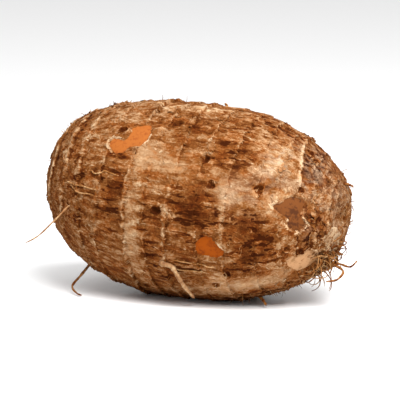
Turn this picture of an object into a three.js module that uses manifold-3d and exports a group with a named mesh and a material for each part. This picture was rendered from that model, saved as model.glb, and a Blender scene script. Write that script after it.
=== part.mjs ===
// A taro corm lying on its side, in millimetres.
//
// +X runs along the corm from its root end to its crown and +Z is up. The origin is the
// middle of the small flat spot that the corm lies on. A place on the skin is given by its
// distance along the skin from the root end, and by its angle round the corm: 0 degrees is
// the front (-Y), 90 degrees is the top.

import * as THREE from 'three';
import { mergeVertices } from 'three/addons/utils/BufferGeometryUtils.js';
import Module from 'manifold-3d';

const wasm = await Module();
wasm.setup();

const { degToRad, lerp, seededRandom } = THREE.MathUtils;

// Overall form.
const HALF_LENGTH = 69;
const HALF_DEPTH = 42;
const SIDE_RATIO = 0.975;
const BASE_FULLNESS = 2.4;
const CROWN_FULLNESS = 2.35;
const SAG = 3;
const SAG_REACH = 70;
const SAG_LEVEL = 0.35;
const DROOP = degToRad(4);
const CENTRE_X = -4;
const REST_HEIGHT = 42.2;
const LUMP_TIGHTNESS = 14;

// Fineness of the skin mesh, the seed of its unevenness, and the ratio that spreads what
// grows on it.
const COLUMNS = 48;
const SEED = 29;
const GOLDEN = (Math.sqrt(5) - 1) / 2;

// Broad swellings and hollows: the direction from the middle of the corm, and the height.
const LUMPS = [
  { toward: [0.81, 0.34, 0.47], height: -1.1 },
  { toward: [0.91, 0.38, 0.15], height: 1.7 },
  { toward: [0.27, 0.25, 0.93], height: 1.0 },
  { toward: [-0.62, 0.04, 0.78], height: -0.6 },
  { toward: [0.54, -0.04, -0.84], height: -0.7 },
  { toward: [-0.33, -0.29, -0.9], height: 0.6 },
  { toward: [-0.93, -0.36, -0.06], height: -1.3 },
];

// Leaf-scar rings: place along the skin at the front, how far the ring drops back toward
// the root end on its way to the far side, and the height of its torn lip.
const RINGS = [
  { along: 9, lean: 0, lip: 0.5 },
  { along: 18, lean: 0, lip: 0.6 },
  { along: 29, lean: 0.5, lip: 0.7 },
  { along: 40, lean: 0.5, lip: 0.8 },
  { along: 51, lean: 0, lip: 0.8 },
  { along: 62, lean: 0, lip: 0.9 },
  { along: 76, lean: -0.5, lip: 1.3 },
  { along: 86, lean: 0, lip: 0.8 },
  { along: 96.5, lean: 1, lip: 1.0 },
  { along: 110, lean: 2, lip: 0.8 },
  { along: 123, lean: 3.5, lip: 0.8 },
  { along: 136, lean: 5.5, lip: 0.9 },
  { along: 147, lean: 8, lip: 0.7 },
  { along: 155.5, lean: 10, lip: 1.1 },
  { along: 163.5, lean: 8, lip: 0.8 },
  { along: 171, lean: 5, lip: 0.7 },
];
const LEAN_FRONT = degToRad(-10);
const RING_FOOT = 2.4;
const RING_DROP = 1.1;
const RING_RAGGED = 0.4;
const WANDER_TWICE_ROUND = 0.7;
const WANDER_THRICE_ROUND = 0.4;
const TWICE_PHASE_STEP = 2.4;
const THRICE_PHASE_STEP = 3.9;
const LIP_UNEVENNESS = [0.6, 1.3];
const SKIN_ROUGHNESS = 0.18;
const WIDE_GAP = 9;

// The resting spot, where the rings and the roughness fade out.
const REST_FADE_ALONG = 18;
const REST_FADE_ACROSS = 11;

// The hollow scars at the two ends.
const END_SCAR_REACH = 8;
const BASE_SCAR_DEPTH = 1.2;
const CROWN_SCAR_DEPTH = 2.6;

// Round scars that roots have left: place along and round the skin, and radius.
const ROOT_SCARS = [
  { along: 89.6, round: 62.5, radius: 1.9 },
  { along: 65.9, round: 51.5, radius: 1.7 },
  { along: 74.9, round: 36, radius: 1.8 },
  { along: 108.9, round: 39.5, radius: 1.9 },
  { along: 115, round: 23.7, radius: 1.7 },
  { along: 136, round: 25.9, radius: 1.9 },
  { along: 153.6, round: 34.8, radius: 1.3 },
  { along: 148.6, round: 81.4, radius: 1.4 },
  { along: 91.8, round: 3.6, radius: 1.8 },
  { along: 150.3, round: -22.5, radius: 1.3 },
  { along: 156, round: -30.1, radius: 1.3 },
  { along: 122.8, round: -36.1, radius: 1.7 },
  { along: 116.4, round: -46, radius: 1.6 },
];
const HIDDEN_SCARS = 20;
const HIDDEN_FROM = degToRad(95);
const HIDDEN_SPAN = degToRad(223);
const HIDDEN_START = 0.34;
const HIDDEN_PAST_RING = [2.5, 5];
const HIDDEN_RADIUS = [1.3, 1.9];
const SCARRED_RINGS = 13;
const SCAR_SIDES = 7;
const SCAR_RIM_WIDTH = 0.6;
const SCAR_RIM_HEIGHT = 0.6;
const SCAR_BOWL_DEPTH = 1.2;
const SCAR_TOOL_REACH = 2;

// The steps between 0 and 1 that spread the sizes and places of what isn't seen, so that no
// two neighbours are alike.
const PLACE_STEP = 0.755;
const RADIUS_STEP = 0.569;
const DRIFT_STEPS = [0.31, 0.47, 0.23];
const REACH_STEP = 0.83;

// Places where the outer skin is rubbed off: outlines in millimetres along and up the skin.
const BARE_PATCHES = [
  {
    along: 70.5,
    round: 44.7,
    outline: [[-10.5, -3.5], [-10, 0], [-6, 0.5], [-2.5, 6], [4, 9.5], [8, 8], [9, 3],
      [4.5, -3], [-1, -7], [-4.5, -8]],
  },
  {
    along: 116.5,
    round: -16,
    outline: [[-6.5, 1], [-4.5, 4], [-0.5, 6], [2, 4.5], [5.5, 1], [7, -2], [4.5, -5], [-6, -1.5]],
  },
  {
    along: 152.3,
    round: 10.5,
    outline: [[-9.5, 3.5], [-4, 6], [0, 8], [5, 6], [6, 3], [4.5, -1.5], [8, -4.5], [6, -6.5],
      [1.5, -7.5], [-3.5, -1]],
  },
];
const PATCH_DEPTH = 0.7;
const PATCH_TOOL_HEIGHT = 6;

// Rootlets that show: where they leave the skin, the points they pass, and their radii.
const ROOTLETS = [
  {
    along: 45.9,
    round: -7.3,
    through: [[-51.5, -37.5, 37.5], [-54, -39.2, 34.5], [-60.5, -41, 28], [-66.5, -41.5, 24.5]],
    radii: [0.9, 0.4],
  },
  {
    along: 94.1,
    round: -28.9,
    through: [[1.8, -36.2, 18.9], [4.4, -35, 14.3], [5.9, -32, 9.8], [8.3, -27.4, 4.2]],
    radii: [1.3, 0.7],
  },
  {
    along: 48,
    round: -66.2,
    through: [[-51.2, -18.5, 7.6], [-53.2, -22.7, 3.4], [-49.4, -26, 1.2], [-45.5, -28.8, 1]],
    radii: [0.8, 0.4],
  },
  {
    along: 160.1,
    round: -86.9,
    through: [[62.6, -1.3, 18.6], [67.4, -2.3, 16.4], [66.2, -6, 13.4], [62.2, -8.6, 12.6]],
    radii: [0.9, 0.45],
  },
  {
    along: 161.2,
    round: -99.6,
    through: [[64.4, 2, 18.6], [69.6, 0.6, 18.2], [72.4, 1.6, 21]],
    radii: [0.8, 0.4],
  },
  {
    along: 130.7,
    round: -71.6,
    through: [[34.4, -13.6, 3.4], [37, -15.4, 1.4]],
    radii: [1, 0.6],
  },
];
const STRAY_ROOTLETS = 9;
const STRAY_MARGINS = [16, 14];
const STRAY_START = 0.9;
const STRAY_FROM = degToRad(95);
const STRAY_SPAN = degToRad(125);
const STRAY_TURN_START = 0.4;
const STRAY_LENGTH = [3, 5];
const STRAY_RADII = [0.85, 0.4];
const ROOTLET_SIDES = 5;
const ROOTLET_STEP = 3.2;
const ROOTLET_SINK = 2.5;

seededRandom(SEED);

// A random number between low and high, from the seeded series.
function between(low, high) {
  return lerp(low, high, seededRandom());
}

// The part of a number after its point.
function fraction(value) {
  return value % 1;
}

// Half of the corm's outline: a superellipse, fuller at one end than at the other.
class Meridian extends THREE.Curve {
  constructor() {
    super();
    this.arcLengthDivisions = 1500;
  }

  getPoint(t, target = new THREE.Vector3()) {
    const angle = t * Math.PI;
    const power = 2 / (t < 0.5 ? BASE_FULLNESS : CROWN_FULLNESS);
    const x = -Math.sign(Math.cos(angle)) * HALF_LENGTH * Math.abs(Math.cos(angle)) ** power;
    return target.set(x, HALF_DEPTH * Math.abs(Math.sin(angle)) ** power, 0);
  }
}

// The smooth form of the corm, without rings, scars and roots.
class CormForm {
  constructor() {
    this.meridian = new Meridian();
    this.length = this.meridian.getLength();
    this.lumps = LUMPS.map(({ toward, height }) => ({
      toward: new THREE.Vector3(...toward).normalize(),
      height,
    }));
  }

  // The place on the skin and the outward direction there, raised by a height.
  at(along, round, lift = 0) {
    const share = THREE.MathUtils.clamp(along / this.length, 0, 1);
    const { x, y: radius } = this.meridian.getPointAt(share);
    const sideways = -Math.cos(round);
    const upward = Math.sin(round);
    const fullness = x < 0 ? BASE_FULLNESS : CROWN_FULLNESS;
    const bulge = (radius / HALF_DEPTH) ** (fullness - 1) / HALF_DEPTH;
    const normal = new THREE.Vector3(
      Math.sign(x) * (Math.abs(x) / HALF_LENGTH) ** (fullness - 1) / HALF_LENGTH,
      bulge * sideways / SIDE_RATIO,
      bulge * upward,
    ).normalize();
    const outward = new THREE.Vector3(
      x / HALF_LENGTH,
      radius / HALF_DEPTH * sideways,
      radius / HALF_DEPTH * upward,
    ).normalize();
    let height = lift;
    for (const lump of this.lumps) {
      height += lump.height * Math.exp(LUMP_TIGHTNESS * (outward.dot(lump.toward) - 1));
    }
    const sag = SAG * ((x / SAG_REACH) ** 2 - SAG_LEVEL);
    const point = new THREE.Vector3(x, radius * SIDE_RATIO * sideways, radius * upward + sag);
    point.addScaledVector(normal, height);
    const yAxis = new THREE.Vector3(0, 1, 0);
    point.applyAxisAngle(yAxis, DROOP).add(new THREE.Vector3(CENTRE_X, 0, REST_HEIGHT));
    normal.applyAxisAngle(yAxis, DROOP);
    return { point, normal };
  }

  // A matrix that stands a small tool on the skin: its X runs along the skin toward the
  // crown, its Y up the skin, and its Z outward.
  frameAt(along, round) {
    const { point, normal } = this.at(along, round);
    const onward = this.at(along + 1, round).point.sub(point);
    onward.addScaledVector(normal, -onward.dot(normal)).normalize();
    const upSkin = normal.clone().cross(onward);
    return new THREE.Matrix4().makeBasis(onward, upSkin, normal).setPosition(point);
  }
}

// A leaf-scar ring, which wanders a little on its way round.
class Ring {
  constructor({ along, lean, lip }, order) {
    this.along = along;
    this.lean = lean;
    this.lip = lip;
    this.order = order;
  }

  place(round) {
    const back = this.lean * (1 - Math.cos(round - LEAN_FRONT));
    const wander = WANDER_TWICE_ROUND * Math.sin(2 * round + TWICE_PHASE_STEP * this.order)
      + WANDER_THRICE_ROUND * Math.sin(3 * round + THRICE_PHASE_STEP * this.order);
    return this.along - back + wander;
  }
}

// A closed body from rows of points between two poles, as a solid.
function closedSkin(firstPole, rows, lastPole) {
  const columns = rows[0].length;
  const points = [firstPole, ...rows.flat(), lastPole];
  const last = points.length - 1;
  const index = [];
  for (let column = 0; column < columns; column += 1) {
    const next = (column + 1) % columns;
    index.push(0, 1 + column, 1 + next);
    for (let row = 0; row < rows.length - 1; row += 1) {
      const a = 1 + row * columns + column;
      const b = 1 + row * columns + next;
      index.push(a, a + columns, b + columns, a, b + columns, b);
    }
    index.push(last, last - columns + next, last - columns + column);
  }
  const geometry = new THREE.BufferGeometry().setFromPoints(points);
  geometry.setIndex(index);
  return toSolid(geometry);
}

// A closed three.js geometry as a solid that can be joined and cut.
function toSolid(geometry, matrix = new THREE.Matrix4()) {
  const plain = geometry.clone();
  plain.deleteAttribute('normal');
  plain.deleteAttribute('uv');
  const merged = mergeVertices(plain.applyMatrix4(matrix), 1e-4);
  return new wasm.Manifold(new wasm.Mesh({
    numProp: 3,
    vertProperties: new Float32Array(merged.attributes.position.array),
    triVerts: new Uint32Array(merged.index.array),
  }));
}

// A solid as a three.js geometry.
function toGeometry(solid) {
  const mesh = solid.getMesh();
  const geometry = new THREE.BufferGeometry();
  geometry.setAttribute('position', new THREE.BufferAttribute(mesh.vertProperties, 3));
  geometry.setIndex(new THREE.BufferAttribute(mesh.triVerts, 1));
  geometry.computeVertexNormals();
  return geometry;
}

// How strongly the rings and the roughness show: they fade out on the resting spot.
function reliefStrength(form, along, round) {
  const { point } = form.at(along, round);
  if (point.z > REST_HEIGHT / 2) {
    return 1;
  }
  return 1 - Math.exp(-((point.x / REST_FADE_ALONG) ** 2) - (point.y / REST_FADE_ACROSS) ** 2);
}

// The rows of the skin mesh: the foot, crest and drop of each ring, and the skin between.
function skinRows(rings) {
  const rows = [];
  rings.forEach((ring, index) => {
    rows.push({ place: (round) => ring.place(round) - RING_FOOT, lift: 0.1 * ring.lip, ragged: 0 });
    rows.push({ place: (round) => ring.place(round), lift: ring.lip, ragged: RING_RAGGED });
    rows.push({ place: (round) => ring.place(round) + RING_DROP, lift: -0.15, ragged: RING_RAGGED });
    const next = rings[index + 1];
    if (next && next.along - ring.along > WIDE_GAP) {
      const middle = (round) => (ring.place(round) + RING_DROP + next.place(round) - RING_FOOT) / 2;
      rows.push({ place: middle, lift: 0, ragged: 0 });
    }
  });
  return rows;
}

// The body of the corm: rings round it, and a hollow scar at either end.
function cormBody(form, rings) {
  const rows = skinRows(rings).map(({ place, lift, ragged }) => {
    const row = [];
    for (let column = 0; column < COLUMNS; column += 1) {
      const round = 2 * Math.PI * column / COLUMNS;
      const along = place(round) + ragged * between(-1, 1);
      const rough = lift * between(...LIP_UNEVENNESS) + SKIN_ROUGHNESS * between(-1, 1);
      row.push(form.at(along, round, rough * reliefStrength(form, along, round)).point);
    }
    return row;
  });
  const scarRow = (along, sink) => Array.from({ length: COLUMNS }, (_, column) => (
    form.at(along, 2 * Math.PI * column / COLUMNS, -sink + between(-0.2, 0.2)).point
  ));
  rows.unshift(scarRow(END_SCAR_REACH / 2, BASE_SCAR_DEPTH * 0.6));
  rows.push(scarRow(form.length - END_SCAR_REACH, 0));
  rows.push(scarRow(form.length - END_SCAR_REACH / 2, CROWN_SCAR_DEPTH * 0.7));
  const rootEnd = form.at(0, 0, -BASE_SCAR_DEPTH).point;
  const crownEnd = form.at(form.length, 0, -CROWN_SCAR_DEPTH).point;
  return closedSkin(rootEnd, rows, crownEnd);
}

// Every root scar: those of the list above, and others that follow the rings on the sides
// that the list doesn't reach, spread by the golden ratio.
function rootScars(rings) {
  const scars = ROOT_SCARS.map(({ along, round, radius }) => ({ along, round: degToRad(round), radius }));
  for (let k = 0; k < HIDDEN_SCARS; k += 1) {
    const pass = Math.floor(k / SCARRED_RINGS);
    const ring = rings[1 + k % SCARRED_RINGS];
    const turn = fraction(GOLDEN * (k % SCARRED_RINGS) + 0.5 * pass + HIDDEN_START);
    const round = HIDDEN_FROM + HIDDEN_SPAN * turn;
    const along = ring.place(round) + lerp(...HIDDEN_PAST_RING, fraction(PLACE_STEP * k));
    scars.push({ along, round, radius: lerp(...HIDDEN_RADIUS, fraction(RADIUS_STEP * k)) });
  }
  return scars;
}

// The raised rim of a root scar, and the bowl that is cut into it.
function scarTools(form, { along, round, radius }) {
  const frame = form.frameAt(along, round);
  const upright = new THREE.Matrix4().makeRotationX(Math.PI / 2);
  const stand = frame.multiply(upright);
  const turned = (profile) => toSolid(
    new THREE.LatheGeometry(profile.map(([x, y]) => new THREE.Vector2(x, y)), SCAR_SIDES),
    stand,
  );
  const rim = turned([
    [0, -SCAR_TOOL_REACH],
    [radius + SCAR_RIM_WIDTH + 0.4, -SCAR_BOWL_DEPTH],
    [radius + SCAR_RIM_WIDTH, SCAR_RIM_HEIGHT / 2],
    [radius * 0.9, SCAR_RIM_HEIGHT],
    [0, SCAR_RIM_HEIGHT],
  ]);
  const bowl = turned([
    [0, -SCAR_BOWL_DEPTH - 0.3],
    [radius * 0.65, -SCAR_BOWL_DEPTH],
    [radius, SCAR_RIM_HEIGHT / 2],
    [radius * 1.1, SCAR_TOOL_REACH],
    [0, SCAR_TOOL_REACH],
  ]);
  return { rim, bowl };
}

// The tool that cuts a bare patch to a small depth below the skin.
function patchTool(form, { along, round, outline }) {
  const shape = new THREE.Shape(outline.map(([x, y]) => new THREE.Vector2(x, y)));
  const slab = new THREE.ExtrudeGeometry(shape, { depth: PATCH_TOOL_HEIGHT, bevelEnabled: false });
  slab.translate(0, 0, -PATCH_DEPTH);
  return toSolid(slab, form.frameAt(along, degToRad(round)));
}

// A rootlet: a tapering strand along a smooth curve, its start sunk well into the corm.
function rootlet(form, { along, round, through, radii }) {
  const { point, normal } = form.at(along, round);
  const start = point.clone().addScaledVector(normal, -ROOTLET_SINK);
  const leave = point.clone().addScaledVector(normal, radii[0]);
  const curve = new THREE.CatmullRomCurve3([start, leave, ...through], false, 'centripetal');
  const steps = Math.max(4, Math.round(curve.getLength() / ROOTLET_STEP));
  const { normals, binormals } = curve.computeFrenetFrames(steps);
  const rows = [];
  for (let step = 0; step <= steps; step += 1) {
    const share = step / steps;
    const centre = curve.getPointAt(share);
    const radius = lerp(radii[0], radii[1], share);
    const row = [];
    for (let side = 0; side < ROOTLET_SIDES; side += 1) {
      const angle = 2 * Math.PI * side / ROOTLET_SIDES;
      row.push(centre.clone()
        .addScaledVector(normals[step], radius * Math.cos(angle))
        .addScaledVector(binormals[step], -radius * Math.sin(angle)));
    }
    rows.push(row);
  }
  const tip = curve.getPointAt(1).addScaledVector(curve.getTangentAt(1), radii[1]);
  return closedSkin(curve.getPointAt(0), rows, tip);
}

// Short rootlets on the hidden sides, bending down as they leave.
function strayRootlets(form) {
  return Array.from({ length: STRAY_ROOTLETS }, (_, k) => {
    const [before, behind] = STRAY_MARGINS;
    const along = lerp(before, form.length - behind, fraction(STRAY_START + GOLDEN * k));
    const round = STRAY_FROM + STRAY_SPAN * fraction(STRAY_TURN_START + PLACE_STEP * k);
    const { point, normal } = form.at(along, round);
    const drift = new THREE.Vector3(
      lerp(-0.7, 0.7, fraction(DRIFT_STEPS[0] * k)),
      lerp(-0.2, 0.2, fraction(DRIFT_STEPS[1] * k)),
      lerp(-0.25, -0.75, fraction(DRIFT_STEPS[2] * k)),
    );
    const reach = lerp(...STRAY_LENGTH, fraction(REACH_STEP * k));
    const through = [1, 2, 3].map((step) => point.clone()
      .addScaledVector(normal, reach * (0.35 + 0.3 * step))
      .addScaledVector(drift, reach * step * 0.6));
    return { along, round, through, radii: STRAY_RADII };
  });
}

// The whole corm: the body with its scars, patches and rootlets, cut flat where it rests.
function cormSolid() {
  const form = new CormForm();
  const rings = RINGS.map((ring, order) => new Ring(ring, order));
  const scars = rootScars(rings).map((scar) => scarTools(form, scar));
  const shown = ROOTLETS.map(({ round, through, ...rest }) => ({
    ...rest,
    round: degToRad(round),
    through: through.map((place) => new THREE.Vector3(...place)),
  }));
  let solid = cormBody(form, rings);
  for (const { rim } of scars) {
    solid = solid.add(rim);
  }
  for (const { bowl } of scars) {
    solid = solid.subtract(bowl);
  }
  for (const patch of BARE_PATCHES) {
    solid = solid.subtract(patchTool(form, patch));
  }
  for (const strand of [...shown, ...strayRootlets(form)]) {
    solid = solid.add(rootlet(form, strand));
  }
  const underFloor = new THREE.BoxGeometry(4 * HALF_LENGTH, 4 * HALF_DEPTH, HALF_DEPTH);
  return solid.subtract(toSolid(underFloor, new THREE.Matrix4().makeTranslation(0, 0, -HALF_DEPTH / 2)));
}

const corm = new THREE.Mesh(
  toGeometry(cormSolid()),
  new THREE.MeshStandardMaterial({ color: 0xa9784a, roughness: 0.9, metalness: 0 }),
);
corm.name = 'corm';

const taro = new THREE.Group();
taro.add(corm);

export default taro;
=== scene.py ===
"""The looks of a taro corm that lies on its side on a white table.

Sizes are in millimetres and angles in radians, up to the moment a mesh is made in metres.
A place on the skin is a pair (along, round): the distance along the skin from the root end,
and the angle round the corm, which is 0 at the front (-Y) and a quarter turn at the top.
"""

import logging
from dataclasses import dataclass, field
from enum import Enum
from functools import partial
from math import cos, pi, radians, sin, tau

import bpy
import numpy as np
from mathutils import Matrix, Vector
from numpy.typing import NDArray


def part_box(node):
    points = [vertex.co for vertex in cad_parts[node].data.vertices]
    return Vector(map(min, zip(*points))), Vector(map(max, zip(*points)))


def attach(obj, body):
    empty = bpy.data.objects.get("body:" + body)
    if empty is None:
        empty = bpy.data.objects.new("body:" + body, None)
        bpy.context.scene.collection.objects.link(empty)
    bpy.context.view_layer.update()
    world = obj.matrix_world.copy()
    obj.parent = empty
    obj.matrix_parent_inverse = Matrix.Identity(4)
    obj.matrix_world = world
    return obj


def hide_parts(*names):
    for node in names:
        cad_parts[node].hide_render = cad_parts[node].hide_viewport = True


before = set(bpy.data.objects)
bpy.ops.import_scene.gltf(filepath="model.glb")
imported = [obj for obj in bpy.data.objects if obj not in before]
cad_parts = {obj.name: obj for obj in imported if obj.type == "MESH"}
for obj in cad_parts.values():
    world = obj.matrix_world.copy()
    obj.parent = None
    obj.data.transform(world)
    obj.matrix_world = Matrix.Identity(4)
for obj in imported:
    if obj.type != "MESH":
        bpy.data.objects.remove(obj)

Array = NDArray[np.float64]

MM = 0.001
BODY = "root"
NODE = "corm"
GOLDEN = (5 ** 0.5 - 1) / 2
FLOOR_GAP = 0.8
CROWN_FROM = 145.0

log = logging.getLogger("taro")


def to_linear(hex_colour: str) -> tuple[float, float, float, float]:
    """Turns an sRGB hex colour into linear red, green, blue and alpha.

    Args:
        hex_colour: six hex digits, such as "c89a5f".

    Returns:
        The linear colour, with alpha 1.
    """
    srgb = [int(hex_colour[i:i + 2], 16) / 255 for i in (0, 2, 4)]
    linear = [c / 12.92 if c <= 0.04045 else ((c + 0.055) / 1.055) ** 2.4 for c in srgb]
    return (*linear, 1.0)


def wrap(angle: Array) -> Array:
    """Brings angles into the half-turn either side of 0."""
    return (angle + pi) % tau - pi


def fraction(value: float) -> float:
    """The part of a number after its point."""
    return value % 1.0


def smooth_step(low: float, high: float, value: Array) -> Array:
    """Rises from 0 at low to 1 at high as 3t^2 - 2t^3; high may be below low."""
    t = np.clip((value - low) / (high - low), 0.0, 1.0)
    return t * t * (3.0 - 2.0 * t)


# The corm's form


@dataclass(frozen=True)
class Lump:
    """A broad swelling or hollow: a direction from the corm's middle, and a height."""

    toward: tuple[float, float, float]
    height: float


@dataclass(frozen=True)
class CormForm:
    """The smooth form of the corm, the same as the solid's.

    Its outline is a superellipse, fuller at the root end than at the crown; it is turned
    about its long axis, squeezed a little sideways, sagged as a shallow parabola, swollen by
    the lumps, pitched down at the crown and lifted onto its resting spot.
    """

    half_length: float = 69.0
    half_depth: float = 42.0
    side_ratio: float = 0.975
    base_fullness: float = 2.4
    crown_fullness: float = 2.35
    sag: float = 3.0
    sag_reach: float = 70.0
    sag_level: float = 0.35
    droop: float = radians(4.0)
    centre_x: float = -4.0
    rest_height: float = 42.2
    lump_tightness: float = 14.0
    lumps: tuple[Lump, ...] = (
        Lump((0.81, 0.34, 0.47), -1.1),
        Lump((0.91, 0.38, 0.15), 1.7),
        Lump((0.27, 0.25, 0.93), 1.0),
        Lump((-0.62, 0.04, 0.78), -0.6),
        Lump((0.54, -0.04, -0.84), -0.7),
        Lump((-0.33, -0.29, -0.9), 0.6),
        Lump((-0.93, -0.36, -0.06), -1.3),
    )
    table: Array = field(init=False, repr=False)

    def __post_init__(self) -> None:
        """Measures the outline: rows of distance along it, x and radius."""
        t = np.linspace(0.0, pi, 6001)
        power = np.where(t < pi / 2, 2 / self.base_fullness, 2 / self.crown_fullness)
        x = -np.sign(np.cos(t)) * self.half_length * np.abs(np.cos(t)) ** power
        radius = self.half_depth * np.abs(np.sin(t)) ** power
        steps = np.hypot(np.diff(x), np.diff(radius))
        along = np.concatenate([[0.0], np.cumsum(steps)])
        object.__setattr__(self, "table", np.stack([along, x, radius]))

    @property
    def length(self) -> float:
        """The distance along the skin from the root end to the crown."""
        return float(self.table[0, -1])

    def radius(self, along: Array) -> Array:
        """The radius of the outline at a distance along the skin."""
        return np.interp(along, self.table[0], self.table[2])

    def at(self, along: Array, round_: Array, lift: Array | float = 0.0) -> tuple[Array, Array]:
        """Finds places on the skin.

        Args:
            along: distances along the skin.
            round_: angles round the corm.
            lift: heights above the smooth form.

        Returns:
            The points and the outward unit vectors there, with a last axis of three.
        """
        along, round_, lift = np.broadcast_arrays(along, round_, lift)
        x = np.interp(along, self.table[0], self.table[1])
        radius = self.radius(along)
        sideways = -np.cos(round_)
        upward = np.sin(round_)
        fullness = np.where(x < 0, self.base_fullness, self.crown_fullness)
        bulge = (radius / self.half_depth) ** (fullness - 1) / self.half_depth
        reach = np.sign(x) * (np.abs(x) / self.half_length) ** (fullness - 1) / self.half_length
        normal = np.stack([reach, bulge * sideways / self.side_ratio, bulge * upward], -1)
        normal /= np.linalg.norm(normal, axis=-1, keepdims=True)
        share = radius / self.half_depth
        outward = np.stack([x / self.half_length, share * sideways, share * upward], -1)
        outward /= np.linalg.norm(outward, axis=-1, keepdims=True)
        height = np.array(lift, dtype=float)
        for lump in self.lumps:
            toward = np.array(lump.toward) / np.linalg.norm(lump.toward)
            height += lump.height * np.exp(self.lump_tightness * (outward @ toward - 1))
        sag = self.sag * ((x / self.sag_reach) ** 2 - self.sag_level)
        point = np.stack([x, radius * self.side_ratio * sideways, radius * upward + sag], -1)
        point += normal * height[..., None]
        point = self._pitched(point) + np.array([self.centre_x, 0.0, self.rest_height])
        return point, self._pitched(normal)

    def _pitched(self, vectors: Array) -> Array:
        """Turns vectors about Y, so that the crown goes down."""
        c, s = cos(self.droop), sin(self.droop)
        x, y, z = np.moveaxis(vectors, -1, 0)
        return np.stack([x * c + z * s, y, z * c - x * s], -1)


class Layer(Enum):
    """The layers of noise on the skin: the size of a cell along and across it, in
    millimetres, and a number that picks the layer's own random values."""

    LIP = ((16.0, 7.0), 1)
    RIDGE = ((11.0, 1.7), 2)
    SWELL = ((15.0, 13.0), 3)
    GRAIN = ((1.8, 1.4), 4)
    MOTTLE = ((9.0, 7.0), 5)
    STREAK = ((6.5, 1.4), 6)
    CROWN = ((4.0, 9.0), 7)
    PAPER = ((6.0, 4.5), 8)
    SCRAP = ((2.6, 2.2), 9)
    HEADING = ((9.0, 9.0), 11)
    BREAK = ((14.0, 6.0), 12)
    SPECK = ((2.6, 2.2), 13)
    COVER = ((8.0, 6.0), 15)
    GREY = ((3.5, 2.6), 16)
    FRAY = ((2.0, 1.2), 17)
    SHEET_BUMP = ((2.0, 2.0), 19)
    DOT = ((5.0, 1.8), 22)
    SHEET_GREY = ((2.6, 2.2), 23)


class SkinNoise:
    """Smooth random values over the skin, seamless round the corm and even at its ends.

    A place stands at (along, r sin round, r cos round), where r is the corm's radius there.
    Random values between -1 and 1 stand on a lattice in that space; between them the value
    follows smooth_step. The seed fixes them.
    """

    gain = 1.4
    push_width = 1.7
    least_radius = 8.0

    def __init__(self, form: CormForm, seed: int) -> None:
        """Keeps the form for its length and radius, and the seed."""
        self.form = form
        self.seed = seed

    def value(self, along: Array, round_: Array, layer: Layer) -> Array:
        """One layer of noise at places on the skin, mostly between -1 and 1."""
        return self._sampled(along, round_, *layer.value)

    def warped(self, along: Array, round_: Array, layer: Layer) -> Array:
        """Noise like value, with its places first pushed about by a cell's worth of noise,
        so that no cell edge shows."""
        cell, number = layer.value
        wide = (cell[0] * self.push_width, cell[1] * self.push_width)
        pushed = along + cell[0] * self._sampled(along, round_, wide, number + 100)
        push = cell[1] * self._sampled(along, round_, wide, number + 200)
        turned = round_ + push / np.maximum(self.form.radius(along), self.least_radius)
        return self._sampled(pushed, turned, cell, number)

    def _sampled(
        self, along: Array, round_: Array, cell: tuple[float, float], number: int,
    ) -> Array:
        """Blends the eight lattice values about each place.

        Args:
            along: distances along the skin.
            round_: angles round the corm.
            cell: the cell's size along and across, in millimetres.
            number: picks the random values.

        Returns:
            The noise.
        """
        along, round_ = np.broadcast_arrays(along, round_)
        radius = self.form.radius(along)
        reach = self.form.half_depth + 2 * cell[1]
        spot = np.stack([
            along / cell[0] + 2.0,
            (radius * np.sin(round_) + reach) / cell[1],
            (radius * np.cos(round_) + reach) / cell[1],
        ])
        shape = (int(self.form.length / cell[0]) + 6, *(2 * (int(2 * reach / cell[1]) + 2,)))
        rng = np.random.default_rng([self.seed, number, *shape])
        grid = rng.uniform(-1.0, 1.0, shape)
        low = np.clip(spot.astype(int), 0, np.array(shape).reshape(3, *(1,) * along.ndim) - 2)
        t = smooth_step(0.0, 1.0, spot - low)
        total = np.zeros(along.shape)
        for corner in np.ndindex(2, 2, 2):
            share = np.ones(along.shape)
            for axis, side in enumerate(corner):
                share = share * (t[axis] if side else 1 - t[axis])
            total += share * grid[low[0] + corner[0], low[1] + corner[1], low[2] + corner[2]]
        return self.gain * total


# Rings, root scars and bare patches


@dataclass(frozen=True)
class Ring:
    """A leaf-scar ring: its place at the front, how far it leans back, and its torn lip."""

    order: int
    along: float
    lean: float
    lip: float
    lean_front: float = radians(-10.0)
    wander_twice: float = 0.7
    wander_thrice: float = 0.4
    ragged: float = 0.28

    def path(self, round_: Array) -> Array:
        """Where the ring runs, without its torn edge: its place, less the lean, plus waves."""
        back = self.lean * (1 - np.cos(round_ - self.lean_front))
        wander = self.wander_twice * np.sin(2 * round_ + 2.4 * self.order)
        wander += self.wander_thrice * np.sin(3 * round_ + 3.9 * self.order)
        return self.along - back + wander

    def place(self, round_: Array) -> Array:
        """Where the ring's torn edge runs: its path, plus three quick waves."""
        torn = np.sin(23 * round_ + 1.7 * self.order)
        torn += 0.8 * np.sin(41 * round_ + 2.9 * self.order)
        torn += 0.7 * np.sin(67 * round_ + 4.1 * self.order)
        return self.path(round_) + self.ragged * torn


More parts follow.
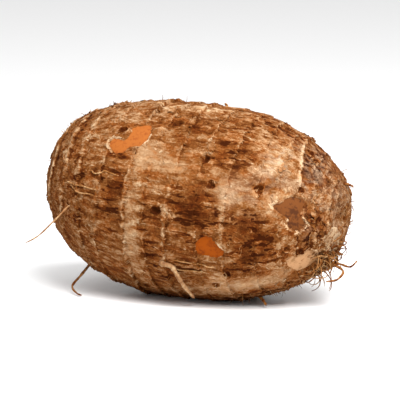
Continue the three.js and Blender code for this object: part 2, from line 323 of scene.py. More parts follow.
@dataclass(frozen=True)
class RingSet:
    """All leaf-scar rings, from the root end to the crown."""

    sizes: tuple[tuple[float, float, float], ...] = (
        (9.0, 0.0, 0.5), (18.0, 0.0, 0.6), (29.0, 0.5, 0.7), (40.0, 0.5, 0.8), (51.0, 0.0, 0.8),
        (62.0, 0.0, 0.9), (76.0, -0.5, 1.3), (86.0, 0.0, 0.8), (96.5, 1.0, 1.0), (110.0, 2.0, 0.8),
        (123.0, 3.5, 0.8), (136.0, 5.5, 0.9), (147.0, 8.0, 0.7), (155.5, 10.0, 1.1),
        (163.5, 8.0, 0.8), (171.0, 5.0, 0.7),
    )

    @property
    def rings(self) -> list[Ring]:
        """The rings in order."""
        return [Ring(order, *size) for order, size in enumerate(self.sizes)]

    def around(self, along: Array, round_: Array, length: float) -> dict[str, Array]:
        """Finds each place's neighbouring rings.

        Args:
            along: distances along the skin.
            round_: angles round the corm.
            length: the skin's whole length.

        Returns:
            The distances "behind" to the last ring and "ahead" to the next one, and the lip
            heights "lip_behind" and "lip_ahead" of those two.
        """
        along, round_ = np.broadcast_arrays(along, round_)
        behind = np.array(along, dtype=float)
        ahead = length - along
        lip_behind = np.zeros_like(behind)
        lip_ahead = np.zeros_like(behind)
        for ring in self.rings:
            gap = along - ring.place(round_)
            past = (gap >= 0) & (gap < behind)
            behind[past] = gap[past]
            lip_behind[past] = ring.lip
            before = (gap < 0) & (-gap < ahead)
            ahead[before] = -gap[before]
            lip_ahead[before] = ring.lip
        return {"behind": behind, "ahead": ahead, "lip_behind": lip_behind, "lip_ahead": lip_ahead}


@dataclass(frozen=True)
class RootScar:
    """A round scar that a root has left: its place and radius."""

    along: float
    round: float
    radius: float


@dataclass(frozen=True)
class ScarSet:
    """All root scars: those seen from the front, and others spread by the golden ratio."""

    seen: tuple[tuple[float, float, float], ...] = (
        (89.6, 62.5, 1.9), (65.9, 51.5, 1.7), (74.9, 36.0, 1.8), (108.9, 39.5, 1.9),
        (115.0, 23.7, 1.7), (136.0, 25.9, 1.9), (153.6, 34.8, 1.3), (148.6, 81.4, 1.4),
        (91.8, 3.6, 1.8), (150.3, -22.5, 1.3), (156.0, -30.1, 1.3), (122.8, -36.1, 1.7),
        (116.4, -46.0, 1.6),
    )
    hidden: int = 20
    hidden_from: float = radians(95.0)
    hidden_span: float = radians(223.0)
    start: float = 0.34
    scarred_rings: int = 13

    def scars(self, rings: list[Ring]) -> list[RootScar]:
        """Lists every scar; the hidden ones follow the rings on the far sides."""
        found = [RootScar(a, radians(r), size) for a, r, size in self.seen]
        for k in range(self.hidden):
            lap, order = divmod(k, self.scarred_rings)
            turn = self.hidden_from
            turn += self.hidden_span * fraction(GOLDEN * order + 0.5 * lap + self.start)
            place = float(rings[1 + order].place(np.array(turn))) + 2.5 + 2.5 * fraction(0.755 * k)
            found.append(RootScar(place, turn, 1.3 + 0.6 * fraction(0.569 * k)))
        return found


@dataclass(frozen=True)
class BarePatch:
    """A place where the outer skin is rubbed off: its middle, its outline on the skin, and
    the stretches of outline, as shares of it, that keep a torn pale rim."""

    name: str
    along: float
    round_degrees: float
    outline: tuple[tuple[float, float], ...]
    rims: tuple[tuple[float, float], ...]

    def local(self, form: CormForm, along: Array, round_: Array) -> tuple[Array, Array]:
        """Millimetres along and up the skin from the patch's middle."""
        along, round_ = np.broadcast_arrays(along, round_)
        up = wrap(round_ - radians(self.round_degrees)) * form.radius(along)
        return along - self.along, up

    def distance(self, form: CormForm, along: Array, round_: Array) -> Array:
        """Signed distance to the outline on the skin, negative inside.

        It is the least distance to the outline's straight sides, with its sign from how
        often a line from the place crosses them.
        """
        u, v = self.local(form, along, round_)
        nearest = np.full(u.shape, 1e9)
        inside = np.zeros(u.shape, dtype=bool)
        corners = np.array(self.outline)
        for (ax, ay), (bx, by) in zip(corners, np.roll(corners, -1, axis=0)):
            dx, dy = bx - ax, by - ay
            t = np.clip(((u - ax) * dx + (v - ay) * dy) / (dx * dx + dy * dy), 0.0, 1.0)
            nearest = np.minimum(nearest, np.hypot(u - ax - t * dx, v - ay - t * dy))
            crosses = (ay > v) != (by > v)
            slope = dx / (dy if dy != 0 else 1e-9)
            inside ^= crosses & (u < ax + (v - ay) * slope)
        return np.where(inside, -nearest, nearest)


PATCHES = (
    BarePatch("light_flesh", 70.5, 44.7, (
        (-9.0, -3.9), (-9.3, -1.8), (-7.8, 0.1), (-4.6, 0.0), (-2.4, -0.8), (-1.2, 0.6),
        (-0.9, 3.5), (-1.4, 6.4), (0.1, 8.1), (2.7, 8.9), (4.8, 9.9), (6.9, 9.7), (8.7, 7.4),
        (9.4, 3.3), (9.1, 0.4), (7.9, -1.6), (6.3, -3.3), (3.9, -3.5), (2.3, -4.2),
        (1.2, -5.9), (-0.3, -7.3), (-2.3, -7.4), (-4.4, -7.9), (-6.6, -6.2),
    ), rims=((0.86, 1.12), (0.55, 0.63))),
    BarePatch("deep_flesh", 116.5, -16.0, (
        (-6.5, 1.3), (-4.8, 4.0), (-1.0, 5.9), (1.4, 5.2), (3.3, 2.7), (5.4, 0.2), (6.9, -1.5),
        (6.3, -3.9), (3.3, -5.4), (0.4, -5.3), (-1.5, -4.4), (-5.3, -4.0), (-6.5, -1.8),
    ), rims=((0.3, 0.42),)),
    BarePatch("brown_skin", 152.3, 10.5, (
        (-9.7, 3.0), (-8.2, 4.2), (-5.6, 4.7), (-4.9, 6.5), (-2.5, 7.8), (-0.1, 8.0), (4.0, 7.3),
        (5.2, 5.6), (4.4, 2.8), (3.7, 0.0), (5.9, -1.9), (7.0, -3.5), (6.2, -5.6), (3.9, -6.9),
        (1.8, -7.6), (-1.0, -5.8), (-2.2, -4.5), (-1.2, -2.8), (-2.8, -1.5), (-5.8, -0.1),
        (-8.3, 1.4),
    ), rims=((0.47, 0.8), (0.96, 1.04))),
    BarePatch("pale_skin", 154.3, -48.4, (
        (-5.2, 6.6), (-2.8, 7.4), (-0.4, 6.6), (1.9, 6.3), (5.8, 5.4), (8.4, 2.2), (8.6, -1.8),
        (6.9, -4.4), (2.9, -5.4), (0.1, -4.9), (-2.9, -3.7), (-4.2, 0.0), (-5.4, 3.4),
    ), rims=((0.2, 0.45),)),
)


@dataclass(frozen=True)
class Zone:
    """An area of the husk: its middle and reach on the skin, and what it does to the husk.

    tone goes from dark (-) to pale (+), cover is how much more or less fibre lies there,
    grey is how far the colour turns to weathered grey, and calm is how even the skin is.
    Most zones are weathering; the broad dark zones over the root end and across the top
    near the crown are painted shade.
    """

    along: float
    round_degrees: float
    reach: tuple[float, float]
    tone: float = 0.0
    cover: float = 0.0
    grey: float = 0.0
    calm: float = 0.0


# Each row: along, round in degrees, reach, tone, cover, grey, calm.
ZONES = tuple(Zone(*row) for row in (
    (71, 4, (4, 13), -0.12),
    (109, 6, (9, 11), -0.46),
    (105, 7, (5, 2), -0.3),
    (132, -15, (6, 15), -0.4),
    (142, -16, (4, 8), -0.36),
    (134, 1, (7, 5), -0.3),
    (143, 12, (4, 8), 0.18, -0.7, 0, 0.4),
    (148.5, -4, (2.5, 6), 0.2, -0.5),
    (123, 16, (5, 4), 0.14, -0.7, 0, 0.4),
    (139.5, 28, (3, 4), -0.3),
    (133, 30, (2.5, 3), -0.3),
    (116, 46, (4, 6), -0.3),
    (125, 44, (7, 6), -0.14),
    (119.5, 5, (3, 4), -0.25),
    (50.5, 14, (3, 4), -0.3),
    (47.5, 29, (2.2, 2.2), -0.35),
    (70, 33, (4, 2), -0.35),
    (66, 12, (6, 11), -0.1),
    (160, -8, (4, 6), -0.14, 0, 0.3),
    (166, -6, (4, 4), -0.2, 0, 0.35),
    (164, 30, (4, 9), 0.1),
    (172, -62, (5, 6), 0.14),
    (48, -8, (6, 7), -0.15),
    (89, -14, (6, 16), -0.12),
    (96, -37, (12, 8), -0.2),
    (163, -15, (6, 10), -0.18),
    (156, -24, (3.5, 4), -0.15),
    # darker along the underside
    (125, -68, (45, 9), -0.18),
    (100, 76, (45, 13), 0, 0, 0, -0.4),
    # painted shade: broadly darker over the root end
    (35, 0, (28, 40), -0.04),
    (82, 34, (9, 6.5), 0.22, -0.9, 0, 0.75),
    (97, 31, (8, 6), 0.16, -0.8, 0, 0.7),
    (141, 45, (9, 12), 0.28, -0.9, 0.5, 0.5),
    (129, 21, (12, 8), 0.19, -0.8, 0.4, 0.5),
    (140, 64, (6, 10), 0.17, -0.6, 0.4, 0.3),
    (117, 26, (8, 6), 0.04, -0.5, 0, 0.4),
    (143, 38, (2.5, 8), -0.22),
    (151, 62, (3, 6), -0.15),
    (79, -4, (3, 16), 0.04, -0.3, 0, 0.4),
    (85, 82, (20, 6), 0.15),
    # painted shade: darker across the top near the crown
    (132, 88, (22, 12), -0.14),
    (76, -30, (6, 9), 0.1, -0.5, 0, 0.4),
    (130, -49, (24, 5.5), 0.36, -0.9, 0, 0.8),
    (157, 62, (5, 13), -0.06, -0.6, 0.8, 0.3),
    (150, 84, (4, 13), -0.08, -0.4, 0.6),
    (170, 50, (8, 12), -0.02, -0.3, 0.45),
    (176, -60, (6, 12), 0.15, -0.3, 0.2),
))


@dataclass(frozen=True)
class Accent:
    """A band along a stretch of one ring that is paler or darker than the rest.

    The band lies between two distances past the ring, negative before it. ragged is how
    far its edges stray, in millimetres, and dotted how far it breaks into dots.
    """

    order: int
    round_degrees: float
    reach_degrees: float
    band: tuple[float, float]
    tone: float
    ragged: float = 0.7
    dotted: float = 0.8


# Each row: order, round and reach in degrees, band, tone, ragged, dotted.
ACCENTS = tuple(Accent(*row) for row in (
    (13, 62, 22, (-1.4, -0.1), 0.42, 0.2, 0.3),
    (8, -4, 26, (-1.2, 0.1), 0.24),
    (10, 2, 16, (-2.2, 0.6), 0.16, 1.3, 1.2),
    (6, -15, 40, (-0.3, 7.0), 0.18, 1.3, 0.4),
    (6, 2, 25, (-9.0, -0.8), -0.14, 1.0),
    (1, 40, 70, (-1.8, 0.1), 0.2),
    (1, 50, 50, (0.6, 3.0), -0.1),
    (2, 45, 60, (-1.8, 0.1), 0.22),
    (2, 50, 50, (0.6, 3.6), -0.12),
    (3, 45, 60, (-1.8, 0.1), 0.22),
    (3, 60, 40, (0.6, 4.0), -0.12),
    (4, 55, 50, (-1.8, 0.1), 0.18),
    (14, 0, 60, (-1.3, 0.1), 0.14),
    (15, -30, 60, (-1.3, 0.1), 0.16),
))


@dataclass(frozen=True)
class Husk:
    """Everything that is known about a place on the skin: its height, tone and cover."""

    form: CormForm
    ring_set: RingSet
    scars: list[RootScar]
    noise: SkinNoise
    lip_reach: float = 2.2
    drop_reach: float = 1.6
    drop_share: float = 0.3
    ridge_height: float = 0.14
    swell_height: float = 0.35
    paper_height: float = 0.32
    grain_height: float = 0.12
    base_scar_depth: float = 1.2
    crown_scar_depth: float = 2.6
    end_scar_reach: float = 8.0
    patch_depth: float = 0.8
    scar_depth: float = 1.6
    clearance: float = 0.2
    crown_swell: float = 1.6
    ridge_slope: float = 2.4
    calm_relief: float = 0.75
    calm_tone: float = 0.8
    sunk_edge: tuple[float, float] = (0.5, -0.4)
    husk_tone: float = 0.53
    lip_pale: float = 0.22
    pale_reach: float = 0.9
    lip_shadow: float = 0.26
    shadow_reach: float = 1.5
    paper_pale: float = 0.1
    mottle_pale: float = 0.06
    streak_pale: float = 0.1
    speck_pale: float = 0.08

    def patch_distance(self, along: Array, round_: Array) -> Array:
        """Signed distance to the nearest bare patch, negative inside."""
        distances = [patch.distance(self.form, along, round_) for patch in PATCHES]
        return np.minimum.reduce(distances)

    def scar_distance(self, along: Array, round_: Array) -> Array:
        """Distance to the nearest root scar's edge, negative inside."""
        nearest = np.full(np.broadcast(along, round_).shape, 1e9)
        radius = self.form.radius(along)
        for scar in self.scars:
            across = wrap(round_ - scar.round) * radius
            nearest = np.minimum(nearest, np.hypot(along - scar.along, across) - scar.radius)
        return nearest

    def clear(self, along: Array, round_: Array) -> NDArray[np.bool_]:
        """Whether a place is clear of the bare patches and the root scars."""
        off_patches = self.patch_distance(along, round_) > self.clearance
        return off_patches & (self.scar_distance(along, round_) > self.clearance)

    def height(self, along: Array, round_: Array) -> Array:
        """The skin's height over the smooth form.

        Each ring's lip rises toward it as an exponential and drops behind it; ridges run
        along the skin where noise that is stretched lengthways crosses nought; slow noise
        swells it; root scars and bare patches are sunk, and both ends are hollow.
        """
        along, round_ = np.broadcast_arrays(along, round_)
        noise = partial(self.noise.value, along, round_)
        from_crown = self.form.length - along
        near = self.ring_set.around(along, round_, self.form.length)
        edge = 0.75 + 0.45 * noise(Layer.LIP)
        lips = near["lip_ahead"] * np.exp(-near["ahead"] / self.lip_reach)
        lips -= self.drop_share * near["lip_behind"] * np.exp(-near["behind"] / self.drop_reach)
        ridges = 1.0 - self.ridge_slope * np.abs(noise(Layer.RIDGE))
        ridges = ridges * smooth_step(8.0, 30.0, self.form.radius(along))
        rugged = 1 - self.calm_relief * self.calm(along, round_)
        swell = noise(Layer.SWELL)
        crowned = self.crown_swell * smooth_step(24.0, 6.0, from_crown)
        swell += crowned * noise(Layer.CROWN)
        papery = self.paper_height * self.paper(along, round_)
        papery += self.grain_height * noise(Layer.GRAIN)
        height = lips * edge + self.swell_height * swell
        height += (self.ridge_height * ridges + papery) * rugged
        bare = smooth_step(*self.sunk_edge, self.patch_distance(along, round_))
        height = height * (1 - 0.9 * bare) - self.patch_depth * bare
        height -= self.scar_depth * smooth_step(*self.sunk_edge, self.scar_distance(along, round_))
        height -= self.crown_scar_depth * smooth_step(self.end_scar_reach, 0.0, from_crown)
        return height - self.base_scar_depth * smooth_step(self.end_scar_reach, 0.0, along)

    def paper(self, along: Array, round_: Array) -> Array:
        """Layers of papery husk that have peeled in patches: 1 where the top one is left,
        0 where it is gone, with a steep edge where warped noise crosses nought."""
        broad = self.noise.warped(along, round_, Layer.PAPER)
        small = self.noise.warped(along, round_, Layer.SCRAP)
        return smooth_step(-0.16, 0.16, broad + 0.7 * small)

    def tone(self, along: Array, round_: Array) -> Array:
        """How pale the husk is, from 0 to 1: zones, ring lips that fade and break beyond
        the root end, accents, papery layers, streaks along the corm and specks, added up."""
        along, round_ = np.broadcast_arrays(along, round_)
        noise = partial(self.noise.value, along, round_)
        near = self.ring_set.around(along, round_, self.form.length)
        rugged = 1 - self.calm_tone * self.calm(along, round_)
        broken = np.clip(0.45 + 1.1 * noise(Layer.BREAK), 0.0, 1.2)
        broken = broken * rugged * (1 - 0.35 * smooth_step(70.0, 95.0, along))
        lips = self.lip_pale * np.exp(-near["ahead"] / self.pale_reach)
        lips -= self.lip_shadow * np.exp(-near["behind"] / self.shadow_reach)
        tone = self.husk_tone + lips * broken + self._accents(along, round_)
        tone += self._zones(along, round_, "tone")
        mottle = self.paper_pale * (self.paper(along, round_) - 0.5)
        mottle += self.mottle_pale * self.noise.warped(along, round_, Layer.MOTTLE)
        mottle += self.streak_pale * noise(Layer.STREAK)
        mottle *= 1 - 0.6 * smooth_step(62.0, 42.0, along)
        mottle += self.speck_pale * self.noise.warped(along, round_, Layer.SPECK)
        return np.clip(tone + mottle * rugged, 0.0, 1.0)

    def gloom(self, along: Array, round_: Array) -> Array:
        """How far the dark zones are torn into dark dashes, from 0 to 1."""
        shade = self._zones(along, round_, "tone") + 0.4 * self._accents(along, round_)
        return 0.25 + 0.75 * smooth_step(0.02, -0.2, shade)

    def dress(self, along: Array, round_: Array) -> dict[str, Array]:
        """The values at the skin's points that its finish reads: the tone, how grey, calm
        and torn it is, and its place in millimetres, even at the corm's ends."""
        radius = self.form.radius(along)
        return {
            "tone": self.tone(along, round_),
            "grey": self.grey(along, round_),
            "calm": self.calm(along, round_),
            "gloom": self.gloom(along, round_),
            "skin_place": np.stack([along, -radius * np.cos(round_), radius * np.sin(round_)], -1),
        }

    def calm(self, along: Array, round_: Array) -> Array:
        """How even the skin is, from -0.5, rough, to 1."""
        return np.clip(self._zones(along, round_, "calm"), -0.5, 1.0)

    def cover(self, along: Array, round_: Array) -> Array:
        """How much of the husk's fibre is left, from 0 to 1."""
        cover = 0.7 + 0.5 * self.noise.value(along, round_, Layer.COVER)
        cover = cover + self._zones(along, round_, "cover")
        cover = cover * smooth_step(-0.1, 0.6, self.patch_distance(along, round_))
        return np.clip(cover * smooth_step(-0.2, 0.8, self.scar_distance(along, round_)), 0.0, 1.0)

    def grey(self, along: Array, round_: Array) -> Array:
        """How grey and papery the husk is, from 0 to 1."""
        patchy = smooth_step(-0.5, 0.4, self.noise.warped(along, round_, Layer.GREY))
        return np.clip(self._zones(along, round_, "grey") * patchy, 0.0, 1.0)

    def _accents(self, along: Array, round_: Array) -> Array:
        """The tone that the accented stretches of ring add: a band with ragged edges."""
        total = np.zeros(np.broadcast(along, round_).shape)
        rings = self.ring_set.rings
        fray = self.noise.value(along, round_, Layer.FRAY)
        dot = self.noise.value(along, round_, Layer.DOT)
        for accent in ACCENTS:
            gap = along - rings[accent.order].path(round_) + accent.ragged * fray
            off = wrap(round_ - radians(accent.round_degrees)) / radians(accent.reach_degrees)
            low, high = accent.band
            inside = smooth_step(low - 0.5, low + 0.3, gap)
            inside = inside * smooth_step(high + 0.4, high - 0.3, gap)
            dots = np.clip(1 + accent.dotted * dot, 0.0, 1.4)
            total = total + accent.tone * inside * np.exp(-off ** 4) * dots
        return total

    def _zones(self, along: Array, round_: Array, quality: str) -> Array:
        """Adds up one quality of the zones, each a bell over its reach."""
        total = np.zeros(np.broadcast(along, round_).shape)
        radius = self.form.radius(along)
        for zone in ZONES:
            up = wrap(round_ - radians(zone.round_degrees)) * radius
            bell = np.exp(-((along - zone.along) / zone.reach[0]) ** 2 - (up / zone.reach[1]) ** 2)
            total = total + getattr(zone, quality) * bell
        return total


# Meshes


@dataclass
class Patchwork:
    """A mesh in the making: points in millimetres, faces and values at the points."""

    points: Array
    quads: NDArray[np.int64]
    triangles: NDArray[np.int64]
    values: dict[str, Array] = field(default_factory=dict)

    def triangle_count(self) -> int:
        """The number of triangles once the quads are split."""
        return 2 * len(self.quads) + len(self.triangles)

    def joined(self, other: "Patchwork") -> "Patchwork":
        """This mesh and another as one."""
        shift = len(self.points)
        return Patchwork(
            np.concatenate([self.points, other.points]),
            np.concatenate([self.quads, other.quads + shift]),
            np.concatenate([self.triangles, other.triangles + shift]),
            {name: np.concatenate([v, other.values[name]]) for name, v in self.values.items()},
        )

    def to_object(
        self, name: str, material: bpy.types.Material, smooth: bool = True,
    ) -> bpy.types.Object:
        """Makes the Blender object, riding on the corm's body.

        Args:
            name: the piece's name.
            material: its finish.
            smooth: whether its faces are shaded smooth.

        Returns:
            The object, at the origin.
        """
        mesh = bpy.data.meshes.new(name)
        corners = np.concatenate([self.quads.ravel(), self.triangles.ravel()])
        sizes = np.concatenate([np.full(len(self.quads), 4), np.full(len(self.triangles), 3)])
        starts = np.concatenate([[0], np.cumsum(sizes)[:-1]])
        mesh.vertices.add(len(self.points))
        mesh.vertices.foreach_set("co", (self.points * MM).ravel())
        mesh.loops.add(len(corners))
        mesh.loops.foreach_set("vertex_index", corners)
        mesh.polygons.add(len(sizes))
        mesh.polygons.foreach_set("loop_start", starts)
        mesh.polygons.foreach_set("use_smooth", np.full(len(sizes), smooth))
        for label, value in self.values.items():
            kind = "FLOAT" if value.ndim == 1 else "FLOAT_VECTOR"
            attribute = mesh.attributes.new(label, kind, "POINT")
            attribute.data.foreach_set("value" if value.ndim == 1 else "vector", value.ravel())
        mesh.update(calc_edges=True)
        mesh.validate()
        mesh.materials.append(material)
        piece = bpy.data.objects.new(name, mesh)
        bpy.context.scene.collection.objects.link(piece)
        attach(piece, BODY)
        log.info("%s: %d triangles", name, self.triangle_count())
        return piece


def no_faces(corners: int) -> NDArray[np.int64]:
    """An empty list of faces with that many corners each."""
    return np.zeros((0, corners), dtype=np.int64)


def closed_tubes(rings: Array, values: dict[str, Array]) -> Patchwork:
    """Joins rings of points into closed tubes with flat ends.

    Each tube is a grid over the step along it and the corner round it; its sides are the
    grid's cells, wrapped round, and its ends are fans of triangles over the first and last
    ring.

    Args:
        rings: points with axes (tube, step, corner, 3), corners turning anticlockwise as
            seen along the tube.
        values: values at the points, with axes (tube, step, corner), and 3 for a vector.

    Returns:
        The mesh.
    """
    tubes, steps, corners = rings.shape[:3]
    index = np.arange(tubes * steps * corners).reshape(tubes, steps, corners)
    onward = np.roll(index, -1, axis=2)
    sides = np.stack([index[:, :-1], index[:, 1:], onward[:, 1:], onward[:, :-1]], -1)
    fans = []
    for k in range(1, corners - 1):
        fans.append(np.stack([index[:, 0, 0], index[:, 0, k], index[:, 0, k + 1]], -1))
        fans.append(np.stack([index[:, -1, 0], index[:, -1, k + 1], index[:, -1, k]], -1))
    flat = {name: value.reshape(-1, *value.shape[3:]) for name, value in values.items()}
    return Patchwork(rings.reshape(-1, 3), sides.reshape(-1, 4), np.concatenate(fans), flat)


def signed_area(corners: Array) -> float:
    """The area inside a flat outline, positive where it turns anticlockwise."""
    onward = np.roll(corners, -1, axis=0)
    return float(0.5 * np.sum(corners[:, 0] * onward[:, 1] - corners[:, 1] * onward[:, 0]))


def closed_grid(
    rows: Array, ends: Array, values: dict[str, Array] | None = None, turned: bool = False,
) -> Patchwork:
    """Closes rows of points round an axis with a single point at each end.

    The faces are the grid's cells, wrapped round, and a fan from each end's point to the
    row beside it.

    Args:
        rows: points with axes (row, column, 3), the columns turning anticlockwise as seen
            from the first end.
        ends: the first and the last point.
        values: values at all points, in the order first, rows, last.
        turned: whether the columns turn the other way.

    Returns:
        The mesh.
    """
    count, columns = rows.shape[:2]
    last = count * columns + 1
    index = 1 + np.arange(count * columns).reshape(count, columns)
    onward = np.roll(index, -1, axis=1)
    quads = np.stack([index[:-1], index[1:], onward[1:], onward[:-1]], -1).reshape(-1, 4)
    fans = np.concatenate([
        np.stack([np.zeros(columns, dtype=int), index[0], onward[0]], -1),
        np.stack([np.full(columns, last), onward[-1], index[-1]], -1),
    ])
    if turned:
        quads, fans = quads[:, [0, 3, 2, 1]], fans[:, [0, 2, 1]]
    points = np.concatenate([ends[:1], rows.reshape(-1, 3), ends[1:]])
    return Patchwork(points, quads, fans, values or {})


def tube_frames(points: Array, upright: Array) -> tuple[Array, Array]:
    """The side and top vectors along paths.

    Args:
        points: paths with axes (path, step, 3).
        upright: vectors that the top should lean to, with the same axes.

    Returns:
        Unit vectors to the path's right and up from it.
    """
    ahead = np.gradient(points, axis=1)
    ahead /= np.linalg.norm(ahead, axis=-1, keepdims=True) + 1e-12
    side = np.cross(ahead, upright)
    side /= np.linalg.norm(side, axis=-1, keepdims=True) + 1e-12
    return side, np.cross(side, ahead)


def tube_rings(paths: Array, upright: Array, radius: Array, sides: int) -> Array:
    """Regular rings of points round paths, anticlockwise as seen along them.

    Args:
        paths: paths with axes (path, step, 3).
        upright: a vector, or one for each point, that the first corner should lean to.
        radius: the rings' radii, with axes (path, step).
        sides: how many corners a ring has.

    Returns:
        Points with axes (path, step, corner, 3).
    """
    side, top = tube_frames(paths, np.broadcast_to(upright, paths.shape))
    turn = (-tau * np.arange(sides) / sides)[:, None]
    away = np.cos(turn) * top[:, :, None] + np.sin(turn) * side[:, :, None]
    return paths[:, :, None] + radius[:, :, None, None] * away


# Finishes


Tree = bpy.types.NodeTree
Socket = bpy.types.NodeSocket
Stops = tuple[tuple[float, str], ...]


def add_node(
    tree: Tree, kind: str, inputs: dict[str | int, object] | None = None, out: str | int = 0,
    stops: Stops = (), **settings: object,
) -> Socket:
    """Adds a node with its settings, and fills its inputs with values or links.

    Args:
        tree: the node tree.
        kind: the node's type name, after the word ShaderNode.
        inputs: a value or another node's output for each named or numbered input.
        out: the name or number of the output to hand back.
        stops: a ramp's places and sRGB hex colours.
        **settings: the node's own options.

    Returns:
        The node's output.
    """
    node = tree.nodes.new("ShaderNode" + kind)
    for name, value in settings.items():
        setattr(node, name, value)
    for socket, value in (inputs or {}).items():
        if isinstance(value, Socket):
            tree.links.new(value, node.inputs[socket])
        else:
            node.inputs[socket].default_value = value
    if stops:
        elements = node.color_ramp.elements
        while len(elements) < len(stops):
            elements.new(0.5)
        for element, (place, colour) in zip(elements, stops):
            element.position = place
            element.color = to_linear(colour)
    return node.outputs[out]


def weighted(tree: Tree, parts: dict[Socket, float]) -> Socket:
    """Adds up patterns that lie about 0.5, each times its weight, so that the sum lies
    about 0.

    Args:
        tree: the node tree.
        parts: the patterns and their weights.

    Returns:
        The sum.
    """
    total: object = -0.5 * sum(parts.values())
    for pattern, weight in parts.items():
        inputs = {0: pattern, 1: weight, 2: total}
        total = add_node(tree, "Math", inputs, operation="MULTIPLY_ADD")
    return total


class Grain(Enum):
    """The husk's grain: its size along and across in millimetres, how many finer layers it
    has, and how far it is pushed about by itself."""

    STRAND = (5.0, 0.5, 3.0, 0.4)
    DASH = (9.0, 2.1, 2.5, 0.3)
    RUST = (7.0, 4.0, 3.0, 0.8)
    PAPER = (3.2, 2.4, 4.0, 1.2)
    CORK = (0.9, 0.75, 3.0, 0.0)

    def pattern(self, tree: Tree, place: Socket) -> Socket:
        """Noise over the skin, from 0 to 1, with this grain lying along the corm."""
        along, across, detail, swirl = self.value
        scale = (1.0 / along, 1.0 / across, 1.0 / across)
        scaled = add_node(tree, "Mapping", {"Vector": place, "Scale": scale})
        return add_node(tree, "TexNoise", {
            "Vector": scaled, "Scale": 1.0, "Detail": detail, "Roughness": 0.6, "Distortion": swirl,
        })


@dataclass(frozen=True)
class Finish:
    """What every finish of the corm has: its name, and how rough and shiny it is."""

    name: str
    roughness: float
    sheen: float

    def pattern(self, tree: Tree) -> dict[str, Socket]:
        """Adds the finish's own nodes, and gives what to link to the shader's inputs."""
        raise NotImplementedError

    def material(self) -> bpy.types.Material:
        """Builds the material."""
        material = bpy.data.materials.new(self.name)
        material.use_nodes = True
        tree = material.node_tree
        shader = tree.nodes["Principled BSDF"]
        for socket, output in self.pattern(tree).items():
            tree.links.new(output, shader.inputs[socket])
        shader.inputs["Roughness"].default_value = self.roughness
        shader.inputs["Specular IOR Level"].default_value = self.sheen
        return material


@dataclass(frozen=True)
class HuskFinish(Finish):
    """Dead, corky outer skin and leaf-base fibre, dried in the sun: matt brown, with papery
    layers that end in crisp edges, dark cracks along the corm where it is torn, paler lips
    at the rings, and grey where it has weathered."""

    roughness: float = 0.92
    sheen: float = 0.03
    bump_mm: float = 0.4
    layer_edge: tuple[float, float] = (0.44, 0.56)
    crack_edge: tuple[float, float] = (0.48, 0.41)
    ruddy_edge: tuple[float, float] = (0.45, 0.62)
    crack_dark: float = 0.55
    crack_depth: float = 0.5
    hush: float = 0.65
    lift: float = 0.13
    weathering: float = 0.85
    stops: Stops = (
        (0.0, "321303"), (0.3, "4f270b"), (0.55, "6e421e"), (0.8, "927050"), (1.0, "ad9273"),
    )
    ruddy_stops: Stops = (
        (0.0, "341303"), (0.3, "532609"), (0.55, "74411a"), (0.8, "966e4a"), (1.0, "b0916e"),
    )
    grey_stops: Stops = (
        (0.0, "33241a"), (0.3, "4d3a2c"), (0.55, "6f5a48"), (0.8, "95806b"), (1.0, "b09c86"),
    )

    def pattern(self, tree: Tree) -> dict[str, Socket]:
        """Adds the grain and the cracks to the tone, more quietly where the skin is calm,
        and colours the sum by brown, ruddy and grey ramps."""
        add = partial(add_node, tree)
        place = add("Attribute", out="Vector", attribute_name="skin_place")
        tone, grey, calm, gloom = (
            add("Attribute", out="Fac", attribute_name=label)
            for label in ("tone", "grey", "calm", "gloom"))
        strand, cork, paper, dashes, rust = (
            grain.pattern(tree, place)
            for grain in (Grain.STRAND, Grain.CORK, Grain.PAPER, Grain.DASH, Grain.RUST))
        layer, crack, ruddy = (
            add("MapRange", {"Value": noise, "From Min": low, "From Max": high},
                interpolation_type="SMOOTHSTEP")
            for noise, (low, high) in (
                (paper, self.layer_edge), (dashes, self.crack_edge), (rust, self.ruddy_edge)))
        blotches = weighted(tree, {layer: 0.14, cork: 0.5, strand: 0.55})
        torn = add("Math", {0: crack, 1: gloom}, operation="MULTIPLY")
        loud = add("Math", {0: calm, 1: -self.hush, 2: 1.0}, operation="MULTIPLY_ADD")
        rough = add("Math", {0: torn, 1: -self.crack_dark, 2: blotches}, operation="MULTIPLY_ADD")
        total = add("Math", {0: rough, 1: loud, 2: tone}, operation="MULTIPLY_ADD")
        lifted = add("Math", {0: gloom, 1: self.lift, 2: total}, operation="MULTIPLY_ADD")
        brown, reddish, greyish = (
            add("ValToRGB", {"Fac": lifted}, stops=stops)
            for stops in (self.stops, self.ruddy_stops, self.grey_stops))
        colour = add("Mix", {"Factor": ruddy, 6: brown, 7: reddish}, 2, data_type="RGBA")
        weathered = add("Math", {0: grey, 1: self.weathering}, operation="MULTIPLY")
        relief = weighted(tree, {strand: 0.7, layer: 0.5, cork: 0.8})
        height = add("Math", {0: torn, 1: -self.crack_depth, 2: relief}, operation="MULTIPLY_ADD")
        tints = {"Factor": weathered, 6: colour, 7: greyish}
        bump = {"Strength": 0.8, "Distance": self.bump_mm * MM, "Height": height}
        return {"Base Color": add("Mix", tints, 2, data_type="RGBA"), "Normal": add("Bump", bump)}


